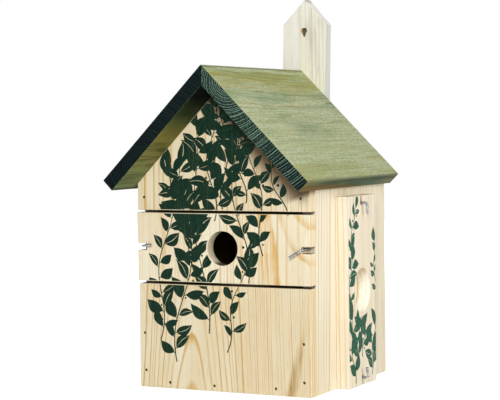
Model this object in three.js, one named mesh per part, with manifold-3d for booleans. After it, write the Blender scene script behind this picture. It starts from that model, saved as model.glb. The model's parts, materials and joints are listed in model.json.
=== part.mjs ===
// Bird nest box with a gable roof, a removable entrance board and a stored spare entrance board.
// Millimetres, +Z up, +X to the right of the front, -Y towards the viewer.
// The origin is the centre of the box's underside.

import * as THREE from 'three';
import { mergeVertices } from 'three/addons/utils/BufferGeometryUtils.js';
import Module from 'manifold-3d';

const wasm = await Module();
wasm.setup();
const { Manifold, Mesh: SolidMesh } = wasm;

// The box: outer width, side walls and the boards that close its front and back.
const boxWidth = 180;
const wallBoardWidth = 155;
const wallThickness = 13.5;
const eaveHeadroom = 13.7;
const frontBoardThickness = 12.5;
const rearWallThickness = 8.5;
const floorThickness = 12;
const jointGap = 0.15;
const edgeChamfer = 0.6;

// The front boards: the lowest one fills what the others leave.
const entranceBoardHeight = 65;
const gableSideHeight = 25.2;
const slotHeight = 2.4;
const entranceBoardOverreach = 1;
const entranceHoleDiameter = 32;

// The roof: two boards, mitred at the ridge and cut square at the eaves.
const roofPitch = THREE.MathUtils.degToRad(45);
const roofBoardThickness = 13.5;
const roofBoardWidth = 149.5;
const roofFrontOverhang = 37;
const roofSeatGap = 0.3;
const ridgeJointGap = 0.3;

// The batten that the box hangs by, nailed a little out of true.
const battenWidth = 47;
const battenThickness = 14;
const battenRise = 71;
const battenFootHeight = 22;
const battenLean = THREE.MathUtils.degToRad(1.56);
const battenPointAngle = THREE.MathUtils.degToRad(47);
const hangingHoleDiameter = 6;
const hangingHoleBelowPoint = 31.4;
const hangingHoleTailLength = 6;
const hangingHoleTailWidth = 1.4;
const hangingHoleTailAngle = THREE.MathUtils.degToRad(35);

// The spare entrance board, stored upright on the right-hand wall.
const spareBoardThickness = 13;
const spareBoardFootHeight = 0.3;
const spareHoleLength = 42.4;
const spareHoleWidth = 37;

// The four bent hooks, all of one wire, and the notches that their shafts stand in.
const wireDiameter = 2.4;
const hookBendRadius = 2.6;
const frontHookInset = 6.3;
const frontHookRise = 0.8;
const sideHookInset = 7;
const hookClearance = 0.3;
const notchHeight = 6.2;
const notchDepth = 8.9;
const frontHookStandOff = 4.5;
const sideHookStandOff = 5.5;
const frontHookDepth = 17;
const sideHookDepth = 11;
const threadDepth = 0.25;
const threadCore = 0.1;
const threadLength = 7.2;
const threadPitch = 1.2;
const hookPointLength = 2.4;
const hookPathSteps = 36;
const frontHookLeftArm = 10.5;
const frontHookRightArm = 15;
const sideHookTopArm = 11.5;
const sideHookBottomArm = 11;
const frontHookLeftAngle = THREE.MathUtils.degToRad(10);
const frontHookRightAngle = THREE.MathUtils.degToRad(210);
const sideHookTopAngle = THREE.MathUtils.degToRad(-80);
const sideHookBottomAngle = THREE.MathUtils.degToRad(110);

// Nails and screws.
const nailShankDiameter = 1.6;
const nailHeadDiameter = 2.6;
const nailHeadHeight = 0.9;
const nailSinkDepth = 0.6;
const nailPointLength = 2.2;
const frontNailLength = 32;
const rearNailLength = 25;
const nailClearance = 0.15;
const screwShankDiameter = 3.4;
const screwHeadDiameter = 7;
const screwHeadHeight = 2.2;
const screwPointLength = 3;
const screwLength = 21;
const screwSinkDepth = 0.4;
const recessWidth = 0.9;
const recessLength = 4;
const recessDepth = 1.5;
const cutOverrun = 1;

// Counts of flat sides on round things.
const nailSides = 10;
const screwSides = 14;
const wireSides = 12;
const holeSides = 48;
const hangingHoleSides = 20;

// Where the nails sit, by hand: across the wall from its outer face, and up the board.
const gableNailShares = {
  gable_nail_left: { side: -1, across: 0.48, up: 0.48 },
  gable_nail_right: { side: 1, across: 0.7, up: 0.48 },
};
const lowerNailShares = {
  lower_nail_left_upper: { side: -1, across: 0.38, up: 0.52 },
  lower_nail_left_lower: { side: -1, across: 0.45, up: 0.16 },
  lower_nail_right_upper: { side: 1, across: 0.58, up: 0.49 },
  lower_nail_right_lower: { side: 1, across: 0.56, up: 0.135 },
};
const floorNailShares = {
  floor_nail_left: { along: -0.322, up: 0.45 },
  floor_nail_middle: { along: -0.058, up: 0.42 },
  floor_nail_right: { along: 0.297, up: 0.52 },
};
const rearNailHeightShares = { lower: 0.13, middle: 0.5, upper: 0.87 };
const rearFloorNailShares = { rear_floor_nail_left: -0.27, rear_floor_nail_right: 0.27 };
const battenScrewShares = { batten_screw_lower: 0.2, batten_screw_middle: 0.53, batten_screw_upper: 0.88 };

// The spare board can take the entrance board's place, and the walls are high enough to store it.
const spareBoardLength = boxWidth;
const spareBoardWidth = entranceBoardHeight;
const wallHeight = spareBoardFootHeight + spareBoardLength + eaveHeadroom;
const lowerBoardHeight = wallHeight - gableSideHeight - entranceBoardHeight - 2 * slotHeight;

// Derived places.
const halfWidth = boxWidth / 2;
const boxDepth = frontBoardThickness + jointGap + wallBoardWidth + jointGap + rearWallThickness;
const frontFaceY = -boxDepth / 2;
const wallFrontY = frontFaceY + frontBoardThickness + jointGap;
const wallRearY = wallFrontY + wallBoardWidth;
const rearFaceY = boxDepth / 2;
const pitchRise = Math.tan(roofPitch);
const gablePeak = wallHeight + halfWidth * pitchRise;
const ridgeHeight = gablePeak + (roofSeatGap + roofBoardThickness) / Math.cos(roofPitch);
const battenLength = ridgeHeight + battenRise - battenFootHeight;
const entranceBoardBottom = lowerBoardHeight + slotHeight;
const entranceCentreZ = entranceBoardBottom + entranceBoardHeight / 2;
const gableBoardBottom = entranceBoardBottom + entranceBoardHeight + slotHeight;
const wireRadius = wireDiameter / 2;
const spareInnerX = halfWidth + jointGap;
const spareOuterX = spareInnerX + spareBoardThickness;
const spareCentreZ = spareBoardFootHeight + spareBoardLength / 2;

const pine = { color: 0xe6d2ab, roughness: 0.62, metalness: 0 };
const pineSide = { color: 0xdccfb4, roughness: 0.64, metalness: 0 };
const pineGrey = { color: 0xd9d2c2, roughness: 0.68, metalness: 0 };
const greenStain = { color: 0x3f4d3c, roughness: 0.48, metalness: 0 };
const zincSteel = { color: 0xb4bac0, roughness: 0.32, metalness: 1 };
const nailSteel = { color: 0x6d5d4c, roughness: 0.5, metalness: 1 };

const nestBox = new THREE.Group();

// Turns a closed geometry into a solid that can be cut.
function solidOf(geometry) {
  const bare = geometry.clone();
  bare.deleteAttribute('normal');
  bare.deleteAttribute('uv');
  const merged = mergeVertices(bare);
  return new Manifold(new SolidMesh({
    numProp: 3,
    vertProperties: new Float32Array(merged.attributes.position.array),
    triVerts: new Uint32Array(merged.index.array),
  }));
}

// Turns a solid back into a geometry.
function geometryOf(solid) {
  const mesh = solid.getMesh();
  const geometry = new THREE.BufferGeometry();
  geometry.setAttribute('position', new THREE.BufferAttribute(mesh.vertProperties, 3));
  geometry.setIndex(new THREE.BufferAttribute(mesh.triVerts, 1));
  return geometry;
}

// A place given by three perpendicular directions and a position.
function placement(across, up, out, position) {
  return new THREE.Matrix4().makeBasis(across, up, out).setPosition(position);
}

const alongX = new THREE.Vector3(1, 0, 0);
const alongY = new THREE.Vector3(0, 1, 0);
const alongZ = new THREE.Vector3(0, 0, 1);
const againstX = alongX.clone().negate();
const againstY = alongY.clone().negate();

// A board cut to an outline, with its face edges slightly chamfered.
function boardGeometry(outline, thickness, curveSegments = holeSides / 2) {
  const geometry = new THREE.ExtrudeGeometry(outline, {
    depth: thickness - 2 * edgeChamfer,
    bevelEnabled: true,
    bevelThickness: edgeChamfer,
    bevelSize: edgeChamfer,
    bevelOffset: -edgeChamfer,
    bevelSegments: 1,
    curveSegments,
  });
  return geometry.translate(0, 0, edgeChamfer);
}

function outlineOf(points) {
  return new THREE.Shape(points.map(([x, y]) => new THREE.Vector2(x, y)));
}

// Cuts a geometry that stands at a place with cutters that stand at theirs.
function carve(geometry, place, cutters) {
  const back = place.clone().invert();
  let solid = solidOf(geometry);
  for (const cutter of cutters) {
    const local = back.clone().multiply(cutter.place);
    solid = solid.subtract(cutter.solid.transform(local.elements));
  }
  return geometryOf(solid);
}

function addPiece(parent, name, geometry, look, place) {
  const piece = new THREE.Mesh(geometry, new THREE.MeshStandardMaterial(look));
  piece.name = name;
  piece.applyMatrix4(place);
  parent.add(piece);
}

// A turned piece about its own Y axis, from profile points of radius and height.
function turned(profile, sides) {
  return new THREE.LatheGeometry(profile.map(([radius, y]) => new THREE.Vector2(radius, y)), sides);
}

// A nail that stands in the face at y = 0 and points along its +Y.
function nailGeometry(length) {
  const headFoot = nailSinkDepth + nailHeadHeight;
  return turned([
    [0, nailSinkDepth],
    [nailHeadDiameter / 2, nailSinkDepth],
    [nailHeadDiameter / 2, headFoot],
    [nailShankDiameter / 2, headFoot],
    [nailShankDiameter / 2, length - nailPointLength],
    [0, length],
  ], nailSides);
}

function nailHole(length) {
  const headFoot = nailSinkDepth + nailHeadHeight + nailClearance;
  const headRadius = nailHeadDiameter / 2 + nailClearance;
  const shankRadius = nailShankDiameter / 2 + nailClearance;
  return solidOf(turned([
    [0, -cutOverrun],
    [headRadius, -cutOverrun],
    [headRadius, headFoot],
    [shankRadius, headFoot],
    [shankRadius, length + nailClearance],
    [0, length + nailClearance],
  ], nailSides));
}

// A countersunk screw with a cross recess, standing like the nail.
function screwGeometry() {
  const headFoot = screwSinkDepth + screwHeadHeight;
  const plain = solidOf(turned([
    [0, screwSinkDepth],
    [screwHeadDiameter / 2, screwSinkDepth],
    [screwShankDiameter / 2, headFoot],
    [screwShankDiameter / 2, screwLength - screwPointLength],
    [0, screwLength],
  ], screwSides));
  const slotMiddle = screwSinkDepth + (recessDepth - cutOverrun) / 2;
  const slot = new THREE.BoxGeometry(recessLength, recessDepth + cutOverrun, recessWidth);
  const otherSlot = new THREE.BoxGeometry(recessWidth, recessDepth + cutOverrun, recessLength);
  slot.translate(0, slotMiddle, 0);
  otherSlot.translate(0, slotMiddle, 0);
  return geometryOf(plain.subtract(solidOf(slot)).subtract(solidOf(otherSlot)));
}

function screwHole() {
  const headRadius = screwHeadDiameter / 2 + nailClearance;
  const shankRadius = screwShankDiameter / 2 + nailClearance;
  const headFoot = screwSinkDepth + screwHeadHeight + nailClearance;
  return solidOf(turned([
    [0, -cutOverrun],
    [headRadius, -cutOverrun],
    [headRadius, screwSinkDepth + nailClearance],
    [shankRadius, headFoot],
    [shankRadius, screwLength + nailClearance],
    [0, screwLength + nailClearance],
  ], screwSides));
}

// A square hook of bent wire: its shaft lies along +Y from the bend and its arm along +X.
// The shaft's last stretch is threaded and ends in a point.
function hookGeometry(shaftLength, armLength) {
  const path = new THREE.CurvePath();
  const shaftEnd = shaftLength - hookPointLength;
  const bendStart = new THREE.Vector3(0, hookBendRadius, 0);
  const bendEnd = new THREE.Vector3(hookBendRadius, 0, 0);
  path.add(new THREE.LineCurve3(new THREE.Vector3(0, shaftEnd, 0), bendStart));
  path.add(new THREE.QuadraticBezierCurve3(bendStart, new THREE.Vector3(), bendEnd));
  path.add(new THREE.LineCurve3(bendEnd, new THREE.Vector3(armLength, 0, 0)));
  const section = new THREE.Shape();
  section.absarc(0, 0, wireRadius, 0, 2 * Math.PI);
  const wire = new THREE.ExtrudeGeometry(section, {
    steps: hookPathSteps,
    curveSegments: wireSides / 2,
    extrudePath: path,
  });
  const threadStart = shaftEnd - threadLength;
  const coreRadius = wireRadius + threadCore;
  const profile = [[0, threadStart], [coreRadius, threadStart]];
  for (let y = threadStart; y + threadPitch < shaftEnd + threadPitch / 2; y += threadPitch) {
    profile.push([coreRadius + threadDepth, y + threadPitch / 2]);
    profile.push([coreRadius, y + threadPitch]);
  }
  profile.push([0, shaftLength]);
  return geometryOf(solidOf(wire).add(solidOf(turned(profile, wireSides))));
}

function hookHole(shaftLength, woodDepth) {
  const radius = wireRadius + threadCore + threadDepth + hookClearance;
  const start = shaftLength - woodDepth - cutOverrun;
  const end = shaftLength + hookClearance;
  return solidOf(turned([[0, start], [radius, start], [radius, end], [0, end]], wireSides));
}

// Nails and screws: each has its shape, its place and the hole that it stands in.
const nails = [];

function addNail(name, length, place) {
  nails.push({ name, length, place });
}

const towardsRear = (x, y, z) => placement(alongX, alongY, alongZ, new THREE.Vector3(x, y, z));
const towardsFront = (x, y, z) => placement(againstX, againstY, alongZ, new THREE.Vector3(x, y, z));

for (const [name, { side, across, up }] of Object.entries(gableNailShares)) {
  const x = side * (halfWidth - across * wallThickness);
  addNail(name, frontNailLength, towardsRear(x, frontFaceY, gableBoardBottom + up * gableSideHeight));
}
for (const [name, { side, across, up }] of Object.entries(lowerNailShares)) {
  const x = side * (halfWidth - across * wallThickness);
  addNail(name, frontNailLength, towardsRear(x, frontFaceY, up * lowerBoardHeight));
}
for (const [name, { along, up }] of Object.entries(floorNailShares)) {
  addNail(name, frontNailLength, towardsRear(along * boxWidth, frontFaceY, up * floorThickness));
}
for (const side of [-1, 1]) {
  for (const [level, share] of Object.entries(rearNailHeightShares)) {
    const name = `rear_nail_${side < 0 ? 'left' : 'right'}_${level}`;
    const x = side * (halfWidth - wallThickness / 2);
    addNail(name, rearNailLength, towardsFront(x, rearFaceY, share * wallHeight));
  }
}
for (const [name, share] of Object.entries(rearFloorNailShares)) {
  addNail(name, rearNailLength, towardsFront(share * boxWidth, rearFaceY, floorThickness / 2));
}

const nailCutters = {};
for (const { name, length, place } of nails) {
  nailCutters[name] = { solid: nailHole(length), place };
  addPiece(nestBox, name, nailGeometry(length), nailSteel, place);
}
const cuttersNamed = (...starts) => Object.entries(nailCutters)
  .filter(([name]) => starts.some((start) => name.startsWith(start)))
  .map(([, cutter]) => cutter);

// The batten leans about the middle of its length, with its three screws in it.
const battenGroup = new THREE.Group();
battenGroup.position.set(0, rearFaceY + jointGap + battenThickness, battenFootHeight + battenLength / 2);
battenGroup.rotation.y = battenLean;
battenGroup.updateMatrixWorld();
const battenCutters = [];
for (const [name, share] of Object.entries(battenScrewShares)) {
  const place = towardsFront(0, 0, share * gablePeak - battenFootHeight - battenLength / 2);
  addPiece(battenGroup, name, screwGeometry(), nailSteel, place);
  battenCutters.push({ solid: screwHole(), place: battenGroup.matrixWorld.clone().multiply(place) });
}

function battenOutline() {
  const side = battenWidth / 2;
  const top = battenLength / 2;
  const shoulder = top - side * Math.tan(battenPointAngle);
  const outline = outlineOf([[-side, -top], [side, -top], [side, shoulder], [0, top], [-side, shoulder]]);
  const holeRadius = hangingHoleDiameter / 2;
  const holeZ = top - hangingHoleBelowPoint;
  const hole = new THREE.Path();
  hole.moveTo(hangingHoleTailWidth / 2, holeZ - hangingHoleTailLength);
  hole.absarc(0, holeZ, holeRadius, -hangingHoleTailAngle, Math.PI + hangingHoleTailAngle, false);
  hole.lineTo(-hangingHoleTailWidth / 2, holeZ - hangingHoleTailLength);
  outline.holes.push(hole);
  return outline;
}

const facingFront = (y, z) => placement(alongX, alongZ, againstY, new THREE.Vector3(0, y, z));
const battenLocal = facingFront(0, 0);
const battenPlace = battenGroup.matrixWorld.clone().multiply(battenLocal);
addPiece(
  battenGroup,
  'hanging_batten',
  carve(boardGeometry(battenOutline(), battenThickness, hangingHoleSides / 2), battenPlace, battenCutters),
  pineGrey,
  battenLocal,
);
nestBox.add(battenGroup);

// The hooks, each at the corner of its bend, with the wood's face that it enters.
const hooks = [];

function addHook(name, arm, angle, shaftLength, woodDepth, place) {
  hooks.push({ name, hole: { solid: hookHole(shaftLength, woodDepth), place } });
  const turn = new THREE.Matrix4().makeRotationY(-angle);
  addPiece(nestBox, name, hookGeometry(shaftLength, arm), zincSteel, place.clone().multiply(turn));
}

const frontShaftLength = frontHookStandOff + frontBoardThickness + jointGap + frontHookDepth;
const sideShaftLength = sideHookStandOff + spareBoardThickness + jointGap + sideHookDepth;
const frontHookX = halfWidth - frontHookInset;
const frontHookY = frontFaceY - frontHookStandOff;
const frontHookZ = entranceCentreZ + frontHookRise;
const sideHookX = spareOuterX + sideHookStandOff;
const intoFront = (x) => placement(
  alongX,
  alongY,
  alongZ,
  new THREE.Vector3(x, frontHookY, frontHookZ),
);
const intoSide = (z) => placement(alongY, againstX, alongZ, new THREE.Vector3(sideHookX, 0, z));
addHook('front_hook_left', frontHookLeftArm, frontHookLeftAngle, frontShaftLength, frontHookDepth,
  intoFront(-frontHookX));
addHook('front_hook_right', frontHookRightArm, frontHookRightAngle, frontShaftLength, frontHookDepth,
  intoFront(frontHookX));
addHook('side_hook_top', sideHookTopArm, sideHookTopAngle, sideShaftLength, sideHookDepth,
  intoSide(spareBoardFootHeight + spareBoardLength - sideHookInset));
addHook('side_hook_bottom', sideHookBottomArm, sideHookBottomAngle, sideShaftLength, sideHookDepth,
  intoSide(spareBoardFootHeight + sideHookInset));
const hookHolesNamed = (...names) => hooks.filter(({ name }) => names.includes(name)).map(({ hole }) => hole);

// Side walls: their tops are cut to the slope of the roof.
function wallOutline(side) {
  const outer = side * halfWidth;
  const inner = side * (halfWidth - wallThickness);
  const innerHeight = wallHeight + wallThickness * pitchRise;
  const points = [[inner, 0], [outer, 0], [outer, wallHeight], [inner, innerHeight]];
  return outlineOf(side > 0 ? points : points.reverse());
}

const wallPlace = facingFront(wallRearY, 0);
addPiece(
  nestBox,
  'left_side_wall',
  carve(boardGeometry(wallOutline(-1), wallBoardWidth), wallPlace, [
    ...cuttersNamed('gable_nail_left', 'lower_nail_left', 'rear_nail_left'),
    ...hookHolesNamed('front_hook_left'),
  ]),
  pineSide,
  wallPlace,
);
addPiece(
  nestBox,
  'right_side_wall',
  carve(boardGeometry(wallOutline(1), wallBoardWidth), wallPlace, [
    ...cuttersNamed('gable_nail_right', 'lower_nail_right', 'rear_nail_right'),
    ...hookHolesNamed('front_hook_right', 'side_hook_top', 'side_hook_bottom'),
  ]),
  pineSide,
  wallPlace,
);

// Gable-shaped boards: the upper front board and the rear wall.
function gableOutline(bottom) {
  return outlineOf([
    [-halfWidth, bottom],
    [halfWidth, bottom],
    [halfWidth, wallHeight],
    [0, gablePeak],
    [-halfWidth, wallHeight],
  ]);
}

const frontPlace = facingFront(frontFaceY + frontBoardThickness, 0);
addPiece(
  nestBox,
  'gable_front_board',
  carve(boardGeometry(gableOutline(gableBoardBottom), frontBoardThickness), frontPlace,
    cuttersNamed('gable_nail')),
  pine,
  frontPlace,
);

const rearPlace = facingFront(rearFaceY, 0);
addPiece(
  nestBox,
  'rear_wall',
  carve(boardGeometry(gableOutline(0), rearWallThickness), rearPlace, [
    ...cuttersNamed('rear_'),
    ...battenCutters,
  ]),
  pineSide,
  rearPlace,
);

// The lower front board.
const lowerOutline = outlineOf([
  [-halfWidth, 0],
  [halfWidth, 0],
  [halfWidth, lowerBoardHeight],
  [-halfWidth, lowerBoardHeight],
]);
addPiece(
  nestBox,
  'lower_front_board',
  carve(boardGeometry(lowerOutline, frontBoardThickness), frontPlace, cuttersNamed('lower_nail', 'floor_nail')),
  pine,
  frontPlace,
);

// An entrance board lying lengthwise about its centre, with a notch in each end and an oval hole.
function entranceOutline(leftEnd, rightEnd, notchEnd, height, holeLength, holeHeight) {
  const edge = height / 2;
  const notch = notchHeight / 2;
  const outline = outlineOf([
    [leftEnd, -edge],
    [rightEnd, -edge],
    [rightEnd, -notch],
    [notchEnd, -notch],
    [notchEnd, notch],
    [rightEnd, notch],
    [rightEnd, edge],
    [leftEnd, edge],
    [leftEnd, notch],
    [-notchEnd, notch],
    [-notchEnd, -notch],
    [leftEnd, -notch],
  ]);
  const hole = new THREE.Path();
  hole.absellipse(0, 0, holeLength / 2, holeHeight / 2, 0, 2 * Math.PI, false, 0);
  outline.holes.push(hole);
  return outline;
}

addPiece(
  nestBox,
  'entrance_board',
  boardGeometry(
    entranceOutline(-halfWidth - entranceBoardOverreach, halfWidth, halfWidth - notchDepth,
      entranceBoardHeight, entranceHoleDiameter, entranceHoleDiameter),
    frontBoardThickness,
  ),
  pine,
  facingFront(frontFaceY + frontBoardThickness, entranceCentreZ),
);

// The spare board stands on end: its length runs up and its face looks to the right.
addPiece(
  nestBox,
  'spare_entrance_board',
  boardGeometry(
    entranceOutline(-spareBoardLength / 2, spareBoardLength / 2, spareBoardLength / 2 - notchDepth,
      spareBoardWidth, spareHoleLength, spareHoleWidth),
    spareBoardThickness,
  ),
  pineSide,
  placement(alongZ, againstY, alongX, new THREE.Vector3(spareInnerX, 0, spareCentreZ)),
);

// The floor lies between the walls.
const floorSide = halfWidth - wallThickness - jointGap;
const floorOutline = outlineOf([
  [-floorSide, wallFrontY],
  [floorSide, wallFrontY],
  [floorSide, wallRearY],
  [-floorSide, wallRearY],
]);
const floorPlace = new THREE.Matrix4();
addPiece(
  nestBox,
  'floor_board',
  carve(boardGeometry(floorOutline, floorThickness), floorPlace, cuttersNamed('floor_nail', 'rear_floor_nail')),
  pineSide,
  floorPlace,
);

// Roof boards: one slope's section, mirrored for the other.
function roofOutline(side) {
  const underside = (x) => wallHeight + roofSeatGap / Math.cos(roofPitch) + (halfWidth - x) * pitchRise;
  const topside = (x) => underside(x) + roofBoardThickness / Math.cos(roofPitch);
  const ridgeX = ridgeJointGap / 2;
  const eaveX = roofBoardWidth * Math.cos(roofPitch);
  const eaveFootX = eaveX - roofBoardThickness * Math.sin(roofPitch);
  const points = [
    [ridgeX, underside(ridgeX)],
    [eaveFootX, underside(eaveFootX)],
    [eaveX, topside(eaveX)],
    [ridgeX, topside(ridgeX)],
  ];
  const turnedPoints = points.map(([x, z]) => [side * x, z]);
  return outlineOf(side > 0 ? turnedPoints : turnedPoints.reverse());
}

const roofLength = boxDepth + roofFrontOverhang;
addPiece(nestBox, 'left_roof_board', boardGeometry(roofOutline(-1), roofLength), greenStain, rearPlace);
addPiece(nestBox, 'right_roof_board', boardGeometry(roofOutline(1), roofLength), greenStain, rearPlace);

export default nestBox;
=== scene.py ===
"""Bird nest box: pine boards, a stained gable roof, bent wire hooks and printed stems with leaves.

+X is to the right of the front, -Y towards the viewer and +Z up. Lengths are in metres, and MM turns
millimetres to metres.
"""

import functools
import json
import math

import bmesh
import bpy
import numpy as np
from bpy.props import FloatProperty, FloatVectorProperty, IntProperty, PointerProperty
from mathutils import Matrix, Vector


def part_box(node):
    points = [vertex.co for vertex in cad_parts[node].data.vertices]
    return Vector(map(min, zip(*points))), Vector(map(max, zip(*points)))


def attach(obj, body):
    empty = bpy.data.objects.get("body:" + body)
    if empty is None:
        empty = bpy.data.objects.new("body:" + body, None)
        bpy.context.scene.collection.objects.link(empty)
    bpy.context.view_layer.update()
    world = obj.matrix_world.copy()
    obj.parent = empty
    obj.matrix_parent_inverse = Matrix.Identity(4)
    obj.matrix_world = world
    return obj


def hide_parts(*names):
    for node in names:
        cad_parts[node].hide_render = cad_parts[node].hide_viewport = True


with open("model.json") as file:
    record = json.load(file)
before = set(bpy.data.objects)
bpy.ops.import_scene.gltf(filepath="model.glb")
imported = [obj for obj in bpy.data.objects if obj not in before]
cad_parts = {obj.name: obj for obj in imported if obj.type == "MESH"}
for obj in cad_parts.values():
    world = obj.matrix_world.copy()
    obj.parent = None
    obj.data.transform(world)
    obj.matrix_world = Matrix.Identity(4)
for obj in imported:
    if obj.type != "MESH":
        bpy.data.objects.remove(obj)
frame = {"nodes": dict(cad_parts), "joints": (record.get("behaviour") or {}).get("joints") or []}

bl_info = {
    "name": "Bird nest box",
    "version": (1, 0, 0),
    "blender": (4, 5, 0),
    "location": "View3D > Sidebar > Nest box",
    "description": "Builds a wooden nest box with a stained roof around its packed frame",
    "category": "Object",
}

MM = 0.001
ROOT_HALF = math.sqrt(0.5)
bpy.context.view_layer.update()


def shade(red, green, blue):
    """A colour written as a screen shows it, from 0 to 255, turned to scene light."""
    return tuple(((c / 255 + 0.055) / 1.055) ** 2.4 for c in (red, green, blue))


def in_metres(millimetres):
    return tuple(value * MM for value in millimetres)


# Settings

def colour_property(name, description, red, green, blue):
    return FloatVectorProperty(name=name, description=description, default=shade(red, green, blue),
                               subtype="COLOR", min=0, max=1)


def length_property(name, description, millimetres):
    return FloatProperty(name=name, description=description, default=millimetres * MM,
                         subtype="DISTANCE", unit="LENGTH")


def angle_property(name, description, degrees):
    return FloatProperty(name=name, description=description, default=math.radians(degrees),
                         subtype="ANGLE", unit="ROTATION")


def power_property(name, description, watts):
    return FloatProperty(name=name, description=description, default=watts,
                         subtype="POWER", unit="POWER")


class BoardSettings(bpy.types.PropertyGroup):
    arris: length_property("Arris", "Width of the rounded edge of a planed board", 0.55)
    roof_arris: length_property("Roof arris", "Width of the worn edge of a roof board", 0.8)
    cell: length_property("Cell", "Distance between the grid lines of a board's face", 4)
    edge_line: length_property("Edge line", "Distance of the first grid line from a board's edge", 1.4)
    saw_wave: length_property("Saw wave", "How far a sawn edge wanders from a straight line", 0.12)
    pit_depth: length_property("Pit depth", "Depth of the pit in which a nail's head sits", 1.0)


class WoodSettings(bpy.types.PropertyGroup):
    early: colour_property("Early wood", "Colour between the growth rings", 246, 235, 204)
    late: colour_property("Late wood", "Colour of the growth rings", 221, 181, 108)
    side_early: colour_property("Side early wood", "Paler, greyer wood of the walls", 240, 231, 208)
    side_late: colour_property("Side late wood", "Growth rings of the walls", 208, 184, 136)
    batten_early: colour_property("Batten early wood", "Greyish wood of the batten", 255, 252, 238)
    batten_late: colour_property("Batten late wood", "Growth rings of the batten", 216, 205, 176)


class StainSettings(bpy.types.PropertyGroup):
    sage: colour_property("Sage", "Main colour of the stained roof", 198, 204, 166)
    olive: colour_property("Olive", "Yellower places of the stain", 172, 172, 108)
    teal: colour_property("Teal", "Bluer places of the stain", 134, 158, 126)
    end_grain: colour_property("End grain", "Stain soaked into the sawn ends", 6, 20, 23)
    end_ring: colour_property("End rings", "Growth rings on the sawn ends", 126, 158, 136)


class PrintSettings(bpy.types.PropertyGroup):
    ink: colour_property("Ink", "Printed leaves on the front", 18, 50, 35)
    side_ink: colour_property("Side ink", "Printed leaves on the spare board", 40, 90, 68)
    film: length_property("Film", "Thickness of the printed film", 0.06)


class WireSettings(bpy.types.PropertyGroup):
    diameter: length_property("Wire diameter", "Diameter of the hooks' wire", 2.4)
    bend: length_property("Bend", "Distance of the bend's ends from its corner", 2.6)
    sides: IntProperty(name="Sides", description="Points round the wire", default=20, min=8, max=64)


class StageSettings(bpy.types.PropertyGroup):
    camera_place: FloatVectorProperty(name="Camera place", description="Where the camera stands",
                                      unit="LENGTH", subtype="XYZ", default=(0.708, -1.41605, 0.2472))
    yaw: angle_property("Yaw", "Camera turned to the left", 27.06)
    pitch: angle_property("Pitch", "Camera tilted up", -2.61)
    roll: angle_property("Roll", "Camera rolled", -0.72)
    lens: FloatProperty(name="Lens", description="Focal length in millimetres on a 36 mm sensor",
                        default=117.12)
    front_power: power_property("Front lamp", "Power of the soft lamp in front", 18.0)
    side_power: power_property("Side lamp", "Power of the soft lamp at the right", 16.0)
    rear_power: power_property("Rear lamp", "Power of the soft lamp behind, at the left", 14)
    sky: FloatProperty(name="Sky", description="Strength of the even light from all sides", default=0.18)


# Shapes

def wander(t, seed, wavelength, size):
    """A smooth irregular line: five sines of rising frequency and falling size, with seeded phases."""
    sines, rate_step, sum_of_sizes = 5, 0.83, 2.3
    rng = np.random.default_rng(seed)
    total = np.zeros_like(t, dtype=float)
    for n in range(sines):
        rate = (1 + n * rate_step) / wavelength
        total += np.sin(2 * np.pi * (rate * t + rng.random())) / (1 + n)
    return total * size / sum_of_sizes


# Radii of the loops of points round a nail, out to the straight lines of the board's grid
NAIL_RINGS = np.array([0.55, 1.0, 1.32, 1.5, 1.75, 2.3, 3.1]) * MM
NAIL_REACH = NAIL_RINGS[-1]


def spaced(start, end, cell, edge, spots=()):
    """Grid lines from start to end: even steps, a line near each end and close lines round each spot.
    Lines too near to the ends or to one another are left out."""
    close_margin, even_margin = edge * 0.7, 1.6 * edge
    even_gap, least_gap = 0.9 * MM, 0.09 * MM
    count = max(2, 2 * round((end - start) / cell / 2))
    even = np.linspace(start, end, count + 1)[1:-1]
    close = np.array([v for spot in spots for v in (spot, *(spot - NAIL_RINGS), *(spot + NAIL_RINGS))])
    if len(close):
        close = close[(close > start + close_margin) & (close < end - close_margin)]
        even = even[np.abs(even[:, None] - close[None, :]).min(axis=1) > even_gap]
    even = even[(even > start + even_margin) & (even < end - even_margin)]
    inner = np.sort(np.concatenate([even, close, [start + edge, end - edge]]))
    kept = inner[np.concatenate([[True], np.diff(inner) > least_gap])]
    return np.concatenate([[start], kept, [end]])


def lines_along(start, end, spots=(), cell=1.0):
    boards = bpy.context.scene.nest_boards
    return spaced(start, end, boards.cell * cell, boards.edge_line, spots)


def stretched(b, low, edge, tallest, height):
    """A height for each row: rows up to low and within edge of the top keep their distance, the rest
    stretch."""
    middle = low + (b - low) / (tallest - edge - low) * (height - edge - low)
    return np.where(b <= low, b, np.where(b >= tallest - edge, height - (tallest - b), middle))


def round_pits(a, b, spots):
    """Bends the square loops of lines round each spot to circles and gives each point its distance from
    the nearest spot: the larger of the two offsets becomes the radius, and the bend fades outwards."""
    fade = 1.2 * MM
    nearest = np.full(a.shape, 1.0)
    for spot_a, spot_b in spots:
        u = a - spot_a
        v = b - spot_b
        square = np.maximum(np.abs(u), np.abs(v))
        length = np.maximum(np.hypot(u, v), 1e-9)
        share = np.clip((NAIL_REACH - square) / fade, 0, 1)
        factor = 1 + share * (square / length - 1)
        a = np.where(square < NAIL_REACH, spot_a + u * factor, a)
        b = np.where(square < NAIL_REACH, spot_b + v * factor, b)
        nearest = np.minimum(nearest, np.where(share > 0.99, square, length * factor))
    return a, b, nearest


def pit_profile(distance, depth):
    """Depth of a nail's pit: a flat bottom, a steep wall and a soft rim of pressed wood."""
    radius, wall_width = 1.38 * MM, 0.16 * MM
    rim_depth, rim_reach = 0.12 * MM, 1.9 * MM
    wall = np.clip((radius + wall_width - distance) / wall_width, 0, 1)
    return np.maximum(wall * depth, rim_depth * np.exp(-((distance / rim_reach) ** 4)))


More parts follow.
